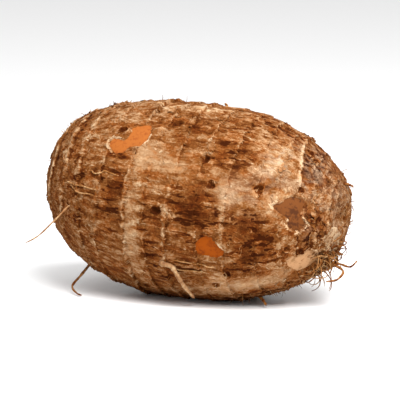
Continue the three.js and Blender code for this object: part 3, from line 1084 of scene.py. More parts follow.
@dataclass(frozen=True)
class DryRoot(Finish):
    """Dry root: stiff and straw-like, dull, and darker where it is old."""

    roughness: float = 0.8
    sheen: float = 0.05
    stops: Stops = (
        (0.0, "3a1705"), (0.3, "572b0d"), (0.55, "784a20"), (0.8, "99724a"), (1.0, "b3936c"),
    )
    grey: str = "77604d"
    mottle_scale: float = 900.0

    def pattern(self, tree: Tree) -> dict[str, Socket]:
        """Adds a mottle to the tone and colours it, then greys it where it is weathered."""
        add = partial(add_node, tree)
        tone, grey = (
            add("Attribute", out="Fac", attribute_name=label) for label in ("tone", "grey"))
        place = add("TexCoord", out="Object")
        mottle = add("TexNoise", {"Vector": place, "Scale": self.mottle_scale, "Detail": 2.0})
        mottled = add("Math", {0: tone, 1: weighted(tree, {mottle: 0.9})}, operation="ADD")
        colour = add("ValToRGB", {"Fac": mottled}, stops=self.stops)
        weathered = add("Math", {0: grey, 1: 0.7}, operation="MULTIPLY")
        inputs = {"Factor": weathered, 6: colour, 7: to_linear(self.grey)}
        return {"Base Color": add("Mix", inputs, 2, data_type="RGBA")}


@dataclass(frozen=True)
class BareTissue(Finish):
    """Inner skin or flesh laid bare by rubbing, dried to a thin hard film: even in colour,
    with fine flecks, and a little shinier than the cork around it."""

    colour: str
    fleck: str
    stained: float
    fleck_scale: float = 700.0
    stain_scale: float = 260.0
    edge: tuple[float, float] = (-0.05, 0.22)
    bump_mm: float = 0.15

    def pattern(self, tree: Tree) -> dict[str, Socket]:
        """Turns the colour to the flecks' where fine noise and broad stains add up."""
        add = partial(add_node, tree)
        place = add("TexCoord", out="Object")
        flecks = add("TexNoise", {
            "Vector": place, "Scale": self.fleck_scale, "Detail": 3.0, "Roughness": 0.65,
        })
        stains = add("TexNoise", {"Vector": place, "Scale": self.stain_scale, "Detail": 2.0})
        both = weighted(tree, {stains: self.stained, flecks: 1.0})
        amount = add(
            "MapRange", {"Value": both, "From Min": self.edge[0], "From Max": self.edge[1]},
            interpolation_type="SMOOTHSTEP")
        inputs = {"Factor": amount, 6: to_linear(self.colour), 7: to_linear(self.fleck)}
        bump = {"Strength": 0.5, "Distance": self.bump_mm * MM, "Height": flecks}
        return {"Base Color": add("Mix", inputs, 2, data_type="RGBA"), "Normal": add("Bump", bump)}


TISSUES = {
    "light_flesh": BareTissue("taro_bare_flesh_light", 0.6, 0.1, "8d4e1c", "7c3d13", 0.25),
    "deep_flesh": BareTissue("taro_bare_flesh_deep", 0.6, 0.06, "823a00", "6a2c00", 0.6),
    "brown_skin": BareTissue("taro_bare_skin_brown", 0.75, 0.1, "5f3413", "42210b", 1.2),
    "pale_skin": BareTissue("taro_bare_skin_pale", 0.85, 0.1, "a57c57", "87613e", 1.0),
}


# Pieces


@dataclass(frozen=True)
class Skin:
    """The corm's outer skin, as one closed surface."""

    husk: Husk
    columns: int = 400
    steps: tuple[float, ...] = (
        0.0, 0.02, 0.06, 0.13, 0.22, 0.32, 0.42, 0.52, 0.62, 0.72, 0.81, 0.89, 0.95, 0.985,
    )

    def build(self) -> Patchwork:
        """Builds the surface: rows between rings, crowded close to each ring."""
        form = self.husk.form
        turn = tau * np.arange(self.columns) / self.columns - pi / 2
        edges = [np.zeros(self.columns)]
        edges += [ring.place(turn) for ring in self.husk.ring_set.rings]
        edges.append(np.full(self.columns, form.length))
        bounds = np.stack(edges)
        share = np.array(self.steps)[None, :, None]
        rows = bounds[:-1, None] * (1 - share) + bounds[1:, None] * share
        along = rows.reshape(-1, self.columns)[1:]
        round_ = np.broadcast_to(turn, along.shape)
        points, _ = form.at(along, round_, self.husk.height(along, round_))
        points[..., 2] = np.maximum(points[..., 2], 0.0)
        ends_along = np.array([0.0, form.length])
        ends, _ = form.at(ends_along, np.zeros(2), self.husk.height(ends_along, np.zeros(2)))
        all_along = np.concatenate([ends_along[:1], along.ravel(), ends_along[1:]])
        all_round = np.concatenate([[0.0], round_.ravel(), [0.0]])
        return closed_grid(points, ends, self.husk.dress(all_along, all_round))


@dataclass(frozen=True)
class Strands:
    """Many flat strands that lie on the skin and lift off it at their tips.

    Each strand starts at (along, round) and runs for its length at its heading, which is 0
    toward the crown. Its lift is sink + arch sin(pi t) + rise t^2, and its half-width is
    greatest in the middle. Across, it is a flat triangle. All along it takes the tone of the
    skin below, shifted by its own amount.
    """

    along: Array
    round: Array
    length: Array
    width: Array
    heading: Array
    curl: Array
    arch: Array
    rise: Array
    shift: Array
    steps: int = 5
    sink: float = -0.12
    thickness: float = 0.3

    def build(self, husk: Husk) -> Patchwork:
        """Builds all strands at once."""
        t = np.linspace(0.0, 1.0, self.steps)[None, :]
        turn = self.heading[:, None] + self.curl[:, None] * (t - 0.5)
        reach = self.length[:, None] * t
        along = self.along[:, None] + reach * np.cos(turn)
        along = np.clip(along, 0.5, husk.form.length - 0.5)
        radius = np.maximum(husk.form.radius(along), 3.0)
        round_ = self.round[:, None] + reach * np.sin(turn) / radius
        lift = self.sink + self.arch[:, None] * np.sin(pi * t) + self.rise[:, None] * t ** 2
        points, normals = husk.form.at(along, round_, husk.height(along, round_) + lift)
        side, top = tube_frames(points, normals)
        half = 0.5 * self.width[:, None] * (0.25 + 0.75 * np.sin(pi * (0.08 + 0.84 * t)))
        thick = self.thickness * half
        rings = np.stack([
            points + side * half[..., None],
            points + top * thick[..., None],
            points - side * half[..., None],
        ], axis=2)
        rings[..., 2] = np.maximum(rings[..., 2], 0.05)
        values = husk.dress(along, round_)
        values["tone"] = np.clip(values["tone"] + self.shift[:, None], 0.0, 1.0)
        tripled = {name: np.stack([value] * 3, 2) for name, value in values.items()}
        return closed_tubes(rings, tripled)


@dataclass(frozen=True)
class FibreCoat:
    """The coat of short fibres that lies in wisps all over the skin."""

    husk: Husk
    count: int
    seed: int
    length: tuple[float, float] = (1.8, 5.5)
    width: tuple[float, float] = (0.25, 0.6)
    shortness: float = 1.6
    wisp_turn: float = radians(20)
    turn_spread: float = radians(11)
    end_ruffle: float = 2.5
    stray_share: float = 0.12
    stray_spread: float = radians(45)
    curl_spread: float = radians(26)
    rise: float = 0.06
    tone_shift: float = 0.06
    tone_spread: float = 0.08

    def strands(self) -> Strands:
        """Draws the strands, evenly over the skin's area and thinned by its cover, and drops
        those that would cross a bare patch or a root scar."""
        rng = np.random.default_rng(self.seed)
        form = self.husk.form
        area = np.cumsum(form.table[2])
        tries = 3 * self.count
        along = np.interp(rng.random(tries) * area[-1], area, form.table[0])
        round_ = rng.uniform(-pi / 2, 1.5 * pi, tries)
        share = rng.random(tries) ** self.shortness
        length = self.length[0] + (self.length[1] - self.length[0]) * share
        heading = self.wisp_turn * self.husk.noise.value(along, round_, Layer.HEADING)
        ends = smooth_step(28.0, 8.0, form.length - along)
        heading += rng.normal(0, self.turn_spread, tries) * (1 + self.end_ruffle * ends)
        stray = rng.random(tries) < self.stray_share
        heading += np.where(stray, rng.normal(0, self.stray_spread, tries), 0.0)
        keep = rng.random(tries) < self.husk.cover(along, round_)
        for share in (0.5, 1.0):
            keep &= self.husk.clear(
                along + share * length * np.cos(heading),
                round_ + share * length * np.sin(heading) / np.maximum(form.radius(along), 3.0))
        point, _ = form.at(along, round_)
        keep &= point[:, 2] > FLOOR_GAP
        picked = np.flatnonzero(keep)[:self.count]
        n = len(picked)
        along, round_, length = along[picked], round_[picked], length[picked]
        return Strands(
            along=along,
            round=round_,
            length=length,
            width=self.width[0] + (self.width[1] - self.width[0]) * rng.random(n) ** 2,
            heading=heading[picked],
            curl=rng.normal(0, self.curl_spread, n),
            arch=0.02 + 0.12 * rng.random(n),
            rise=rng.exponential(self.rise, n) * (1 + 3 * (rng.random(n) < 0.04)),
            shift=self.tone_shift + rng.normal(0, self.tone_spread, n),
        )


@dataclass(frozen=True)
class RingFringe:
    """The torn fringe at the lip of each leaf-scar ring, combed toward the crown."""

    husk: Husk
    seed: int = 5
    spacing: float = 0.62
    share: float = 0.6
    setback: float = 0.8
    least_setback: float = 0.2
    extra_cover: float = 0.15
    patch_gap: float = 0.5
    turn_spread: float = radians(16)
    curl_spread: float = radians(25)

    def strands(self) -> Strands:
        """Draws the fringe of every ring, denser on the stronger lips."""
        rng = np.random.default_rng(self.seed)
        form = self.husk.form
        along_parts, round_parts, lip_parts = [], [], []
        for ring in self.husk.ring_set.rings:
            middle = form.radius(ring.along)
            count = int(tau * middle / self.spacing * min(1.2, ring.lip + 0.1) * self.share)
            turn = rng.uniform(-pi, pi, count)
            setback = rng.exponential(self.setback, count)
            along_parts.append(ring.place(turn) - setback - self.least_setback)
            round_parts.append(turn)
            lip_parts.append(np.full(count, ring.lip))
        along = np.concatenate(along_parts)
        round_ = np.concatenate(round_parts)
        lip = np.concatenate(lip_parts)
        point, _ = form.at(along, round_)
        keep = point[:, 2] > FLOOR_GAP
        keep &= rng.random(len(along)) < self.husk.cover(along, round_) + self.extra_cover
        keep &= self.husk.patch_distance(along, round_) > self.patch_gap
        along, round_, lip = along[keep], round_[keep], lip[keep]
        n = len(along)
        return Strands(
            along=along,
            round=round_,
            length=0.9 + 1.5 * rng.random(n) ** 1.5 * lip,
            width=0.25 + 0.4 * rng.random(n) ** 2,
            heading=rng.normal(0, self.turn_spread, n),
            curl=rng.normal(0, self.curl_spread, n),
            arch=0.03 + 0.1 * rng.random(n),
            rise=0.03 + rng.exponential(0.08, n) * lip,
            shift=0.03 + rng.normal(0, 0.07, n),
            steps=4,
        )


@dataclass(frozen=True)
class Flakes:
    """Papery flakes of old leaf base, close to the rings, the crown and the bare patches."""

    husk: Husk
    count: int = 900
    ruffle_count: int = 90
    ruffle_along: float = 36.0
    ruffle_round: float = radians(84)
    ruffle_reach: tuple[float, float] = (13.0, radians(18))
    crown_extra: float = 2.2
    crown_growth: float = 1.5
    crown_ruffle: float = 2.5
    turn_spread: float = radians(22)
    curl_spread: float = radians(25)
    most_rise: float = 1.3
    seed: int = 17

    def strands(self) -> Strands:
        """Draws wide, thin, lifted strands near ring lips, with more of them at the crown,
        and some that stand up in the ruffled area at the top of the root end."""
        rng = np.random.default_rng(self.seed)
        rings = self.husk.ring_set.rings
        weights = np.array([1.0 + self.crown_extra * (ring.along > CROWN_FROM) for ring in rings])
        weights *= np.array([self.husk.form.radius(ring.along) for ring in rings])
        picks = rng.choice(len(rings), self.count, p=weights / weights.sum())
        round_ = rng.uniform(-pi, pi, self.count)
        places = np.stack([ring.place(round_) for ring in rings])
        along = places[picks, np.arange(self.count)] + rng.normal(-0.5, 1.4, self.count)
        ruffles = rng.normal(self.ruffle_along, self.ruffle_reach[0], self.ruffle_count)
        along = np.concatenate([along, ruffles])
        ruffles = rng.normal(self.ruffle_round, self.ruffle_reach[1], self.ruffle_count)
        round_ = np.concatenate([round_, ruffles])
        along = np.clip(along, 2.0, self.husk.form.length - 2.0)
        ruffled = np.arange(len(along)) >= self.count
        point, _ = self.husk.form.at(along, round_)
        keep = (point[:, 2] > 1.5) & (self.husk.patch_distance(along, round_) > 0.8)
        keep &= self.husk.scar_distance(along, round_) > 0.4
        along, round_, ruffled = along[keep], round_[keep], ruffled[keep]
        n = len(along)
        crown = smooth_step(32.0, 12.0, self.husk.form.length - along)
        growth = 1 + self.crown_growth * crown
        return Strands(
            along=along,
            round=round_,
            length=0.8 + 1.8 * rng.random(n) ** 2 * growth + 0.8 * ruffled,
            width=0.6 + 1.0 * rng.random(n) ** 2 * growth + 0.5 * ruffled,
            heading=rng.normal(0, self.turn_spread, n) * (1 + self.crown_ruffle * crown),
            curl=rng.normal(0, self.curl_spread, n),
            arch=0.05 + 0.15 * rng.random(n),
            rise=np.minimum(
                (0.1 + rng.exponential(0.22, n)) * (1 + 2 * (rng.random(n) < 0.12)),
                self.most_rise),
            shift=0.03 + rng.normal(0, 0.1, n),
            steps=5,
            thickness=0.16,
        )


@dataclass(frozen=True)
class Sheet:
    """One scrap of papery leaf base: its place, half-sizes along and across, turn, and how
    its tone and grey differ from the skin's."""

    along: float
    round: float
    half: tuple[float, float]
    turn: float
    tone: float
    grey: float


SHEETS = (
    Sheet(171.0, radians(-58), (5.5, 8.0), radians(8), 0.24, 0.1),
    Sheet(168.0, radians(48), (4.5, 7.0), radians(-15), 0.02, 0.35),
    Sheet(172.0, radians(100), (5.0, 6.0), radians(30), 0.05, 0.3),
    Sheet(163.0, radians(10), (4.0, 3.0), radians(0), -0.12, 0.1),
    Sheet(170.0, radians(0), (4.5, 4.0), radians(35), 0.04, 0.1),
    Sheet(164.0, radians(-40), (5.0, 3.5), radians(-20), 0.06, 0.0),
)


@dataclass(frozen=True)
class PaperSheets:
    """Scraps of papery leaf base that still cling to the rings, most of them at the crown.

    Each is a thin closed grid. Its point (u, v) in the square from -1 to 1 is drawn toward a
    rounded outline whose size wavers with the angle, and is laid on the skin; its lift grows
    with the fourth power of the distance from the middle, more on the side that has let go.
    """

    husk: Husk
    strays: int = 60
    crown_extra: float = 2.0
    margin: float = 1.2
    least_height: float = 6.0
    seed: int = 71
    cells: int = 12
    lift: float = 0.1
    curl: float = 0.55
    thickness: float = 0.14
    wavers: tuple[tuple[float, int, float], ...] = (
        (0.13, 3, 1.9), (0.1, 5, 2.7), (0.07, 9, 4.3), (0.05, 14, 3.1),
    )

    def every(self) -> list[Sheet]:
        """The named sheets, and strays close to the rings."""
        rng = np.random.default_rng(self.seed)
        rings = self.husk.ring_set.rings
        weights = np.array([1.0 + self.crown_extra * (ring.along > CROWN_FROM) for ring in rings])
        found = list(SHEETS)
        for pick in rng.choice(len(rings), self.strays, p=weights / weights.sum()):
            turn = rng.uniform(-pi, pi)
            along = float(rings[pick].place(np.array(turn))) + rng.normal(-0.5, 1.5)
            half = (rng.uniform(1.0, 2.6), rng.uniform(1.2, 3.6))
            sheet = Sheet(
                along, turn, half, rng.normal(0, radians(20)), rng.normal(0.04, 0.07), 0.0)
            reach = np.array([-1.0, 0.0, 1.0])
            clear = self.husk.clear(
                along + reach[:, None] * half[0] * self.margin,
                turn + reach[None] * half[1] * self.margin / self.husk.form.radius(np.array(along)))
            point, _ = self.husk.form.at(np.array(along), np.array(turn))
            if clear.all() and point[2] > self.least_height:
                found.append(sheet)
        return found

    def build(self) -> Patchwork:
        """Builds all sheets at once."""
        sheets = self.every()
        n, edge = len(sheets), self.cells + 1
        line = np.linspace(-1.0, 1.0, edge)
        u, v = (grid[None] for grid in np.meshgrid(line, line, indexing="ij"))
        order = np.arange(n)[:, None, None]
        square = np.maximum(np.abs(u), np.abs(v))
        angle = np.arctan2(v, u)
        size = square / np.maximum(np.hypot(u, v), 1e-9)
        waver = 1
        for depth, lobes, shift in self.wavers:
            waver = waver + depth * np.sin(lobes * angle + shift * order)
        pull = (0.35 + 0.65 * size) * waver
        pull = np.where(square > 0, pull, 1.0)
        column = {
            name: np.array([getattr(sheet, name) for sheet in sheets])[:, None, None]
            for name in ("along", "round", "turn", "tone", "grey")}
        half = np.array([sheet.half for sheet in sheets])
        a = u * pull * half[:, 0, None, None]
        b = v * pull * half[:, 1, None, None]
        c, s = np.cos(column["turn"]), np.sin(column["turn"])
        along = np.clip(column["along"] + a * c - b * s, 1.0, self.husk.form.length - 1.0)
        radius = np.maximum(self.husk.form.radius(column["along"]), 6.0)
        round_ = column["round"] + (a * s + b * c) / radius
        loose = 0.5 + 0.5 * np.cos(angle - 1.3 * order)
        bumps = 0.12 * self.husk.noise.value(along, round_, Layer.SHEET_BUMP)
        rise = self.lift + self.curl * square ** 4 * loose + bumps
        lifts = np.stack([rise, rise - self.thickness], 1)
        both_along = np.broadcast_to(along[:, None], lifts.shape)
        both_round = np.broadcast_to(round_[:, None], lifts.shape)
        ground = self.husk.height(both_along, both_round)
        points, _ = self.husk.form.at(both_along, both_round, ground + lifts)
        index = np.arange(n * 2 * edge * edge).reshape(n, 2, edge, edge)
        top, under = index[:, 0], index[:, 1]

        def cells(grid: NDArray[np.int64]) -> NDArray[np.int64]:
            """The four corners of each cell, in order."""
            return np.stack(
                [grid[:, :-1, :-1], grid[:, 1:, :-1], grid[:, 1:, 1:], grid[:, :-1, 1:]], -1)

        def wall(upper: NDArray[np.int64], lower: NDArray[np.int64]) -> NDArray[np.int64]:
            """The faces between two matching rows of points."""
            return np.stack([upper[:, :-1], lower[:, :-1], lower[:, 1:], upper[:, 1:]], -1)

        quads = [cells(top).reshape(-1, 4), cells(under)[..., ::-1].reshape(-1, 4)]
        quads.append(wall(top[:, :, 0], under[:, :, 0]).reshape(-1, 4))
        quads.append(wall(top[:, :, -1], under[:, :, -1])[..., ::-1].reshape(-1, 4))
        quads.append(wall(top[:, 0], under[:, 0])[..., ::-1].reshape(-1, 4))
        quads.append(wall(top[:, -1], under[:, -1]).reshape(-1, 4))
        values = self.husk.dress(both_along, both_round)
        tone = values["tone"] * 0.8 + 0.1 + column["tone"][:, None]
        values["tone"] = np.clip(tone + 0.12 * smooth_step(0.8, 1.0, square)[:, None], 0.0, 1.0)
        patchy = 1 + 0.8 * self.husk.noise.value(both_along, both_round, Layer.SHEET_GREY)
        values["grey"] = np.clip(column["grey"][:, None] * patchy, 0.0, 1.0)
        values["skin_place"] = points
        flat = {name: value.reshape(-1, *value.shape[4:]) for name, value in values.items()}
        return Patchwork(points.reshape(-1, 3), np.concatenate(quads), no_faces(3), flat)


@dataclass(frozen=True)
class PatchRims:
    """The torn edges of skin round the bare patches, pale where the patch keeps a rim."""

    husk: Husk
    seed: int = 23
    spacing: float = 0.3
    plain_share: float = 0.3
    rim_shift: float = 0.32
    rim_count: int = 40
    turn_spread: tuple[float, float] = (radians(14), radians(30))
    curl_spread: float = radians(30)

    def strands(self) -> Strands:
        """Draws short strands that follow each patch's outline, just outside it: all of
        them along its rims, and a share of them elsewhere."""
        rng = np.random.default_rng(self.seed)
        along_parts, round_parts, heading_parts, rim_parts = [], [], [], []
        for patch in PATCHES:
            corners = np.array(patch.outline)
            sides = np.roll(corners, -1, axis=0) - corners
            lengths = np.hypot(sides[:, 0], sides[:, 1])
            run = np.concatenate([[0.0], np.cumsum(lengths)])
            share = rng.random(int(run[-1] / self.spacing))
            rims = [rng.uniform(*rim, self.rim_count) % 1.0 for rim in patch.rims]
            share = np.concatenate([share, *rims])
            side = np.searchsorted(run, share * run[-1], side="right") - 1
            part = (share * run[-1] - run[side]) / lengths[side]
            spot = corners[side] + sides[side] * part[:, None]
            in_rim = np.zeros(len(share), dtype=bool)
            for start, end in patch.rims:
                in_rim |= (share - start) % 1.0 < end - start
            keep = in_rim | (rng.random(len(share)) < self.plain_share)
            out = np.stack([sides[side, 1], -sides[side, 0]], -1) / lengths[side, None]
            outward = np.sign(signed_area(corners))
            spot = spot + out * outward * (0.1 + 0.5 * rng.random((len(share), 1)))
            along = patch.along + spot[:, 0]
            turn = radians(patch.round_degrees) + spot[:, 1] / self.husk.form.radius(along)
            along_parts.append(along[keep])
            round_parts.append(turn[keep])
            heading_parts.append(np.arctan2(sides[side, 1], sides[side, 0])[keep])
            rim_parts.append(in_rim[keep])
        along = np.concatenate(along_parts)
        round_ = np.concatenate(round_parts)
        in_rim = np.concatenate(rim_parts)
        n = len(along)
        stray = np.where(in_rim, *self.turn_spread)
        return Strands(
            along=along,
            round=round_,
            length=0.6 + 1.4 * rng.random(n),
            width=0.25 + 0.4 * rng.random(n),
            heading=np.concatenate(heading_parts) + rng.normal(0, 1, n) * stray,
            curl=rng.normal(0, self.curl_spread, n),
            arch=0.05 + 0.12 * rng.random(n),
            rise=0.03 + rng.exponential(0.06, n),
            shift=np.where(in_rim, self.rim_shift, 0.0) + rng.normal(0, 0.1, n),
            steps=4,
        )


@dataclass(frozen=True)
class BareSpot:
    """The smooth tissue that shows in a bare patch, as a thin closed pad."""

    husk: Husk
    patch: BarePatch
    spokes: int = 120
    rounds: int = 16
    overlap: float = 0.35
    crown: float = 0.12
    bury: float = 1.4

    def outline(self) -> Array:
        """The patch's outline, resampled evenly and smoothed, as spokes from its middle."""
        corners = np.array(self.patch.outline + self.patch.outline[:1])
        run = np.concatenate([[0.0], np.cumsum(np.hypot(*np.diff(corners, axis=0).T))])
        place = np.linspace(0.0, run[-1], self.spokes, endpoint=False)
        points = np.stack([np.interp(place, run, corners[:, k]) for k in range(2)], -1)
        for _ in range(2):
            points = (np.roll(points, 1, 0) + 2 * points + np.roll(points, -1, 0)) / 4
        middle = points.mean(axis=0)
        away = points - middle
        size = np.linalg.norm(away, axis=1, keepdims=True)
        wobble = 0.22 * np.sin(np.arange(self.spokes) * 1.9)[:, None]
        return middle + away * (1 + (self.overlap + wobble) / size)

    def build(self) -> Patchwork:
        """Builds the pad: from its middle out to the outline on top, and back below."""
        form = self.husk.form
        outline = self.outline()
        middle = outline.mean(axis=0)
        out = np.linspace(0.0, 1.0, self.rounds + 1)[1:]
        share = np.concatenate([out, out[::-1]])
        below = np.concatenate([np.zeros(self.rounds), np.ones(self.rounds)])
        spot = middle + share[:, None, None] * (outline[None] - middle)
        top = -self.husk.patch_depth + self.crown * (1 - share ** 2) + 0.1
        lift = np.where(below > 0, -self.husk.patch_depth - self.bury, top)
        along = self.patch.along + spot[..., 0]
        round_ = radians(self.patch.round_degrees) + spot[..., 1] / form.radius(along)
        points, _ = form.at(along, round_, np.broadcast_to(lift[:, None], along.shape))
        centre_round = radians(self.patch.round_degrees) + middle[1] / form.radius(self.patch.along)
        poles, _ = form.at(self.patch.along + middle[0], centre_round, np.array([top[0], lift[-1]]))
        pad = closed_grid(points, poles)
        if signed_area(outline) < 0:
            pad.quads, pad.triangles = pad.quads[:, ::-1], pad.triangles[:, ::-1]
        return pad


@dataclass(frozen=True)
class ScarCups:
    """The small round cups that roots have left, each a closed body turned about its axis."""

    husk: Husk
    sides: int = 18

    def build(self) -> Patchwork:
        """Builds every cup from one profile: buried foot, raised rim and hollow middle."""
        profile = np.array([
            (0.0, -2.6), (1.1, -2.2), (1.5, -0.6), (1.36, 0.0), (1.2, 0.1), (1.06, 0.0),
            (0.93, -0.4), (0.72, -0.95), (0.4, -1.25), (0.0, -1.3),
        ])
        turn = tau * np.arange(self.sides) / self.sides
        places = np.array([(scar.along, scar.round) for scar in self.husk.scars])
        tones = self.husk.tone(places[:, 0], places[:, 1])
        greys = self.husk.grey(places[:, 0], places[:, 1])
        cups = None
        for order, scar in enumerate(self.husk.scars):
            middle, normal = self.husk.form.at(np.array(scar.along), np.array(scar.round))
            onward, _ = self.husk.form.at(np.array(scar.along + 1.0), np.array(scar.round))
            x_axis = onward - middle
            x_axis -= normal * (x_axis @ normal)
            x_axis /= np.linalg.norm(x_axis)
            y_axis = np.cross(normal, x_axis)
            lobes = 1 + 0.13 * np.sin(2 * turn + order) + 0.09 * np.sin(3 * turn + 2.3 * order)
            lobes += 0.06 * np.sin(5 * turn + 2 * order)
            rim = profile[1:-1]
            across = rim[:, :1] * scar.radius * lobes[None]
            height = rim[:, 1:2] * scar.radius / 1.8 + 0.06 * np.sin(4 * turn + 3 * order)[None]
            points = middle + across[..., None] * (
                np.cos(turn)[None, :, None] * x_axis + np.sin(turn)[None, :, None] * y_axis)
            points = points + height[..., None] * normal
            ends = middle + profile[[0, -1], 1:2] * scar.radius / 1.8 * normal
            cup = closed_grid(points, ends, turned=True)
            # The tone darkens down each cup's wall to its bottom point: partly the scar's own dark
            # tissue, partly painted shade in the hollow.
            shade = np.array([0.0, 0.0, -0.05, -0.1, -0.25, -0.36, -0.42, -0.42]) + tones[order]
            one_side = 0.14 * np.sin(turn + 1.7 * order) + 0.1 * np.sin(3 * turn + 2.9 * order)
            ring_tone = np.clip(shade[:, None] + one_side[None], -0.1, 1.0).ravel()
            deepest = max(tones[order] - 0.5, 0.0)
            plain = np.ones(len(cup.points))
            cup.values = {
                "tone": np.concatenate([tones[[order]], ring_tone, [deepest]]),
                "grey": greys[order] * plain,
                "calm": 0.0 * plain,
                "gloom": 0.3 * plain,
                "skin_place": cup.points,
            }
            cups = cup if cups is None else cups.joined(cup)
        return cups


@dataclass(frozen=True)
class Rootlet:
    """A thick rootlet: where it leaves the skin, the points it passes, and its radii."""

    along: float
    round_degrees: float
    through: tuple[tuple[float, float, float], ...]
    radii: tuple[float, float]
    tone: float = 0.45
    grey: float = 0.0


ROOTLETS = (
    Rootlet(45.9, -7.3, (
        (-51.5, -37.5, 37.5), (-54, -39.2, 34.5), (-60.5, -41, 28), (-66.5, -41.5, 24.5),
    ), (0.5, 0.26), 0.68, 0.3),
    Rootlet(94.1, -28.9, (
        (1.8, -36.2, 18.9), (4.4, -35, 14.3), (5.9, -32, 9.8), (8.3, -27.4, 4.2),
    ), (1.25, 0.7), 0.74, 0.5),
    Rootlet(48.0, -66.2, (
        (-51.2, -18.5, 7.6), (-53.2, -22.7, 3.4), (-49.4, -26, 1.2), (-45.5, -28.8, 1),
    ), (0.7, 0.35), 0.5),
    Rootlet(160.1, -86.9, (
        (62.6, -1.3, 18.6), (67.4, -2.3, 16.4), (66.2, -6, 13.4), (62.2, -8.6, 12.6),
    ), (0.8, 0.4), 0.5),
    Rootlet(161.2, -99.6, (
        (64.4, 2, 18.6), (69.6, 0.6, 18.2), (72.4, 1.6, 21),
    ), (0.7, 0.35), 0.45),
    Rootlet(130.7, -71.6, (
        (34.4, -13.6, 3.4), (37, -15.4, 1.4),
    ), (0.9, 0.5), 0.45),
)


@dataclass(frozen=True)
class Rootlets:
    """All thick rootlets: those that the front shows, and strays on the hidden sides."""

    husk: Husk
    strays: int = 9
    sides: int = 8
    steps: int = 26
    sink: float = 2.5
    upright: tuple[float, float, float] = (0.21, 0.13, 0.97)
    tip: float = 0.45

    def stray(self, k: int) -> Rootlet:
        """One stray rootlet, placed by the golden ratio and bending down as it leaves."""
        form = self.husk.form
        along = 16 + (form.length - 30) * fraction(0.9 + GOLDEN * k)
        turn = radians(95) + radians(125) * fraction(0.4 + 0.755 * k)
        point, normal = form.at(np.array(along), np.array(turn))
        drift = np.array([
            1.4 * fraction(0.31 * k) - 0.7,
            0.4 * fraction(0.47 * k) - 0.2,
            -0.25 - 0.5 * fraction(0.23 * k),
        ])
        reach = 3.0 + 2.0 * fraction(0.83 * k)
        through = tuple(
            tuple(point + normal * reach * (0.35 + 0.3 * step) + drift * reach * step * 0.6)
            for step in (1, 2, 3))
        return Rootlet(along, turn * 180 / pi, through, (0.85, 0.4), 0.4 + 0.3 * fraction(0.61 * k))

    def path(self, rootlet: Rootlet) -> Array:
        """A smooth path through the rootlet's points, by a Catmull-Rom curve over the
        square root of the chords, from inside the skin to the tip."""
        turn = radians(rootlet.round_degrees)
        start, normal = self.husk.form.at(np.array(rootlet.along), np.array(turn))
        foot = start - normal * self.sink
        knots = np.array([foot, start + normal * rootlet.radii[0], *rootlet.through])
        knots = np.concatenate([[2 * knots[0] - knots[1]], knots, [2 * knots[-1] - knots[-2]]])
        chords = np.linalg.norm(np.diff(knots, axis=0), axis=1)
        when = np.concatenate([[0.0], np.cumsum(chords ** 0.5)])
        t = np.linspace(when[1], when[-2], self.steps)
        k = np.clip(np.searchsorted(when, t, side="right") - 1, 1, len(knots) - 3)

        def blend(a: Array, b: Array, ta: Array, tb: Array) -> Array:
            """The straight blend from a at time ta to b at time tb."""
            return a + (b - a) * ((t - ta) / (tb - ta))[:, None]

        a1 = blend(knots[k - 1], knots[k], when[k - 1], when[k])
        a2 = blend(knots[k], knots[k + 1], when[k], when[k + 1])
        a3 = blend(knots[k + 1], knots[k + 2], when[k + 1], when[k + 2])
        b1 = blend(a1, a2, when[k - 1], when[k + 1])
        b2 = blend(a2, a3, when[k], when[k + 2])
        return blend(b1, b2, when[k], when[k + 1])

    def build(self) -> Patchwork:
        """Builds the tubes: radius tapering from root to tip, with small knots."""
        every = list(ROOTLETS) + [self.stray(k) for k in range(self.strays)]
        paths = np.stack([self.path(rootlet) for rootlet in every])
        t = np.linspace(0.0, 1.0, self.steps)
        radii = np.array([r.radii for r in every])
        radius = radii[:, :1] * (1 - t) + radii[:, 1:] * t
        order = np.arange(len(every))[:, None]
        knotty = 1 + 0.13 * np.sin(31 * t + 2.1 * order) + 0.1 * np.sin(57 * t + 3.7 * order)
        radius = radius * knotty
        radius[:, -1] *= self.tip
        rings = tube_rings(paths, np.array(self.upright), radius, self.sides)
        rings[..., 2] = np.maximum(rings[..., 2], 0.05)
        tone = np.array([r.tone for r in every])[:, None, None]
        wrinkles = 0.12 * np.sin(17 * t + order) + 0.12 * np.sin(61 * t + 2.0 * order)
        turn = -tau * np.arange(self.sides) / self.sides
        # Painted shade: the tone swings darker and paler twice round each rootlet, in stripes that
        # wind along it.
        around = 0.12 * np.sin(2 * turn + 11 * t[:, None])
        tone = np.clip(tone + wrinkles[..., None] + around, 0.0, 1.0)
        grey = np.broadcast_to(np.array([r.grey for r in every])[:, None, None], rings.shape[:3])
        return closed_tubes(rings, {"tone": tone, "grey": grey})


@dataclass(frozen=True)
class HairClump:
    """Hairs that stand about one place: the place and spread, how long and curly they are,
    and how many times thicker than the rest."""

    count: int
    along: tuple[float, float]
    round_degrees: tuple[float, float]
    length: tuple[float, float]
    bend: float
    thick: float = 1.0


CLUMPS = (
    HairClump(80, (160.0, 4.0), (-84.0, 14.0), (7.0, 17.0), 5.0, 2.8),
    HairClump(70, (159.0, 5.0), (-78.0, 16.0), (3.0, 9.0), 4.0, 2.0),
    HairClump(60, (138.0, 12.0), (-72.0, 7.0), (1.5, 4.0), 1.5, 1.3),
    HairClump(50, (36.0, 14.0), (80.0, 18.0), (1.5, 4.0), 1.8, 1.4),
    HairClump(60, (168.0, 6.0), (150.0, 60.0), (2.0, 7.0), 2.4, 1.3),
)


